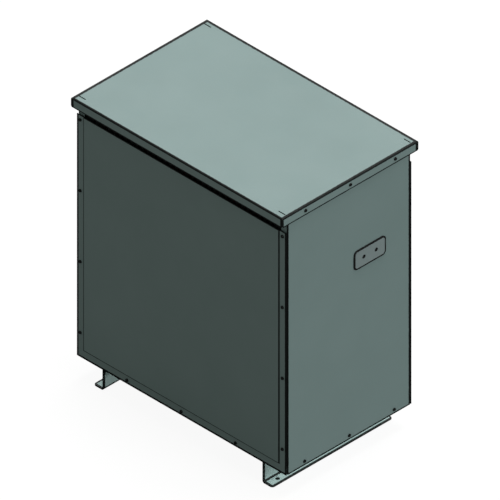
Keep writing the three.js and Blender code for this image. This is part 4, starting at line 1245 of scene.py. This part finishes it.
boardShape = {"corner": 5, "edge": 0.8}
bracketShape = {
    "x": 235, "halfWidth": 16, "sheet": 4, "inside": 3, "clear": 0.3, "foot": -62, "below": 12, "edge": 0.5,
    "boltFromBottom": 18, "boltFromTop": 30, "boltReach": 16, "footBolt": -72, "footBoltReach": 6,
}


# The board that steadies the bars' lug ends, on two angle brackets bolted to the upper clamp.
def makeTerminalBoard():
    node, shape = "terminal_board", bracketShape
    low, high = cadBounds(node)
    plate = slab("y", middleOf(node)[[0, 2]], (high - low)[[0, 2]], low[1], high[1], boardShape["corner"],
                 boardShape["edge"])
    holes = [rod("y", place, barShape["bore"], low[1] - cutPast, high[1] + cutPast)
             for phase in phases for place in lugHoles(phase)]
    addPiece("terminal_board_plate", [plate], "case", materials["boardLaminate"], (node,),
             cuts=holes)
    clampTop = cadBounds("core_clamp_upper_front")[1][2]
    line, footTop = shape["clear"] + shape["sheet"] / 2, clampTop + shape["clear"] + shape["sheet"]
    brackets, bolts = [], []
    for _, end in sides:
        x = end * shape["x"]
        corners = [(shape["foot"], clampTop + line), (high[1] + line, clampTop + line),
                   (high[1] + line, high[2] - shape["below"])]
        brackets.append(foldedSheet(corners, shape["sheet"], shape["inside"], "x", x - shape["halfWidth"],
                                    x + shape["halfWidth"]))
        for z in (low[2] + shape["boltFromBottom"], high[2] - shape["boltFromTop"]):
            bolts.append(hexBolt("y", (x, z), low[1], -1, nutHead, low[1] + shape["boltReach"]))
        bolts.append(hexBolt("z", (x, shape["footBolt"]), footTop, 1, nutHead,
                             clampTop - shape["footBoltReach"]))
    addPiece("terminal_board_brackets", brackets, "case", materials["clampPaint"],
             edge=shape["edge"])
    addPiece("terminal_board_bolts", bolts, "case", materials["screwSteel"])


lugShape = {"radius": 10.5, "clear": 0.2, "thickness": 2, "edge": 0.3}
leadShape = {
    "radius": 3.4, "proud": 3, "jumperSteps": 90,
    # steps from a line stud's nut, and from the coil's top above the stud
    "fromStud": ((12, -1.5, 8), (26, -3, 24), (34, 0, 50)),
    "ontoCoil": ((36, -100, 10), (36, -94, 4), (36, -92, -3)),
    # steps from one stud, from the middle between two, and from the next stud
    "leaving": ((-6, -1, -12), (22, -2, -34), (62, 4, -40)), "between": ((0, 8, -34),),
    "arriving": ((-62, 4, -6), (-24, -2, 6), (-9, -2, 1)),
}


# Sleeved leads: from each line stud over the board to the coil, and from stud to stud.
def makeLeads():
    z = tapShape["lineStud"]
    leads, lugs, studs = [], [], []
    for phase in phases:
        low, high = cadBounds(f"tap_board_{phase}")
        coilTop = cadBounds(f"high_voltage_winding_{phase}")[1][2]
        centre, front = (low[0] + high[0]) / 2, high[1] - tapShape["board"] - lineNut["height"]
        points = np.concatenate([np.array([centre, front, z]) + leadShape["fromStud"],
                                 np.array([centre, 0, coilTop]) + leadShape["ontoCoil"]])
        leads.append(lead(points, leadShape["radius"]))
        back = front - lugShape["clear"]
        lugs.append(rod("y", (centre, z), lugShape["radius"], back, back - lugShape["thickness"]))
        studs.append(np.array([centre, front - leadShape["proud"], z]))
    for start, end in zip(studs[:-1], studs[1:]):
        points = np.concatenate([start + leadShape["leaving"], (start + end) / 2 + leadShape["between"],
                                 end + leadShape["arriving"]])
        leads.append(lead(points, leadShape["radius"], leadShape["jumperSteps"]))
    addPiece("line_leads", leads, "case", materials["leadSleeve"])
    addPiece("line_lugs", lugs, "case", materials["tinnedCopper"], edge=lugShape["edge"])


strapShape = {
    "thickness": 3, "fold": -120, "inside": 6, "edge": 0.7, "screwInset": 10,
    "upperReach": 9, "lowerReach": 4,
}
groundBar = {
    "corner": 1.5, "edge": 0.6, "holes": 4, "holeInset": 20, "bore": 4, "screwInset": 8, "screwReach": 5,
}
groundHead = {**nutHead, "radius": 5, "rim": 5.4, "height": 4}


# A braided strap from the clamp down to the base pan, and a drilled bar for the field cables' ground lugs.
def makeGrounding():
    low, high = cadBounds("ground_strap")
    shape, half = strapShape, strapShape["thickness"] / 2
    upper, lower, fold = high[2] - half, low[2] + half, shape["fold"]
    corners = [(high[1], upper), (fold, upper), (fold, lower), (low[1], lower)]
    strap = foldedSheet(corners, shape["thickness"], shape["inside"], "x", low[0], high[0], steps=12)
    addPiece("ground_strap_braid", [strap], "case", materials["tinnedBraid"],
             ("ground_strap",), edge=shape["edge"])
    x, inset = (low[0] + high[0]) / 2, shape["screwInset"]
    screws = [hexBolt("z", (x, high[1] - inset), high[2], 1, nutHead, high[2] - shape["upperReach"]),
              hexBolt("z", (x, low[1] + inset), low[2] + shape["thickness"], 1, nutHead,
                      low[2] - shape["lowerReach"])]
    low, high = cadBounds("ground_bar")
    middle = (low + high) / 2
    bar = slab("z", middle[:2], (high - low)[:2], low[2], high[2], groundBar["corner"], groundBar["edge"])
    first, last = low[0] + groundBar["holeInset"], high[0] - groundBar["holeInset"]
    holes = [rod("z", (spot, middle[1]), groundBar["bore"], low[2] - cutPast, high[2] + cutPast)
             for spot in np.linspace(first, last, groundBar["holes"])]
    addPiece("ground_bar_copper", [bar], "case", materials["bareCopper"], ("ground_bar",),
             cuts=holes)
    screws += [hexBolt("z", (spot, middle[1]), high[2], 1, groundHead, low[2] - groundBar["screwReach"])
               for spot in (low[0] + groundBar["screwInset"], high[0] - groundBar["screwInset"])]
    addPiece("ground_screws", screws, "case", materials["screwSteel"])


for phase in phases:
    makeTapBoard(phase)
    makeTapLink(phase)
    makeBusBar(phase)
makeTerminalBoard()
makeLeads()
makeGrounding()
refined("neutral_bus_copper", "neutral_bus_bar", "case", materials["tinnedCopper"],
        barShape["edge"])
print("terminals ready")


floorLook = {"reach": 9.0, "shown": 0.93, "shaded": 0.12, "bounce": (0.13, 0.13, 0.13, 1.0)}
lightPlan = {
    # direction towards each light, strength, softness in degrees, colour
    "overhead": ((0.0, 0.2, 1.0), 1.57, 30, (1.0, 1.0, 1.0)),
    "rightSide": ((1.0, 0.1, 0.55), 0.79, 25, (0.95, 1.0, 1.0)),
    "behind": ((-0.65, 0.7, 0.35), 0.45, 30, (1.0, 1.0, 1.0)),
}
footLights = {  # the case shades its own feet, so these reach nothing else
    "footTop": ((0.0, 0.2, 1.0), 2.0, 30, (1.0, 1.0, 0.98)),
    "footSide": ((1.0, 0.1, 0.4), 1.25, 25, (1.0, 1.0, 0.98)),
}
roomLight = {"strength": 0.2, "colour": (0.98, 1.0, 0.93, 1.0)}
cameraPlan = {"azimuth": 45.0, "elevation": 35.264, "frameWidth": 1.2733, "aim": (0.0096, 0.0096, 0.4708),
              "distance": 3.0, "farthest": 50.0}


# The floor is pale to the camera, with a faint shadow, and darker to other rays, so it throws little light.
def makeFloor():
    reach = floorLook["reach"]
    corners = np.array([[[-reach, -reach, 0], [reach, -reach, 0]], [[-reach, reach, 0], [reach, reach, 0]]])
    points, quads, _ = gridSurface(corners)
    mesh = bpy.data.meshes.new("floor")
    mesh.from_pydata(points.tolist(), [], quads.tolist())
    material = bpy.data.materials.new("floorPale")
    material.use_nodes = True
    tree = material.node_tree
    tree.nodes.clear()
    add = nodeMaker(tree)
    shown = add("ShaderNodeEmission", {"Color": (1, 1, 1, 1), "Strength": floorLook["shown"]})
    pale = add("ShaderNodeBsdfDiffuse", {"Color": (floorLook["shaded"],) * 3 + (1,)})
    seen = add("ShaderNodeAddShader", {0: shown.outputs[0], 1: pale.outputs[0]})
    bounce = add("ShaderNodeBsdfDiffuse", {"Color": floorLook["bounce"]})
    rays = add("ShaderNodeLightPath")
    mixed = add("ShaderNodeMixShader", {0: rays.outputs["Is Camera Ray"], 1: bounce.outputs[0],
                                        2: seen.outputs[0]})
    output = add("ShaderNodeOutputMaterial")
    tree.links.new(mixed.outputs[0], output.inputs["Surface"])
    mesh.materials.append(material)
    link("floor", mesh)


def makeLights():
    feet = bpy.data.collections.new("feet")
    for side, _ in sides:
        feet.objects.link(bpy.data.objects[f"{side}_foot_rail_sheet"])
    for name, (towards, strength, softness, colour) in {**lightPlan, **footLights}.items():
        light = bpy.data.lights.new(name, "SUN")
        light.energy = strength
        light.angle = math.radians(softness)
        light.color = colour
        lamp = link(name, light)
        lamp.rotation_euler = Vector(towards).to_track_quat("Z", "Y").to_euler()
        if name in footLights:
            lamp.light_linking.receiver_collection = feet
            lamp.light_linking.blocker_collection = feet
    world = bpy.data.worlds.new("room")
    world.use_nodes = True
    background = world.node_tree.nodes["Background"]
    background.inputs["Color"].default_value = roomLight["colour"]
    background.inputs["Strength"].default_value = roomLight["strength"]
    bpy.context.scene.world = world
    bpy.context.scene.view_settings.view_transform = "Standard"


def makeCamera():
    azimuth, elevation = math.radians(cameraPlan["azimuth"]), math.radians(cameraPlan["elevation"])
    back = Vector((math.sin(azimuth) * math.cos(elevation), -math.cos(azimuth) * math.cos(elevation),
                   math.sin(elevation)))
    data = bpy.data.cameras.new("camera")
    data.type = "ORTHO"
    data.ortho_scale = cameraPlan["frameWidth"]
    data.clip_end = cameraPlan["farthest"]
    camera = link("camera", data)
    camera.location = Vector(cameraPlan["aim"]) + back * cameraPlan["distance"]
    camera.rotation_euler = back.to_track_quat("Z", "Y").to_euler()
    bpy.context.scene.camera = camera


makeFloor()
makeLights()
makeCamera()
print("floor, light and camera ready")
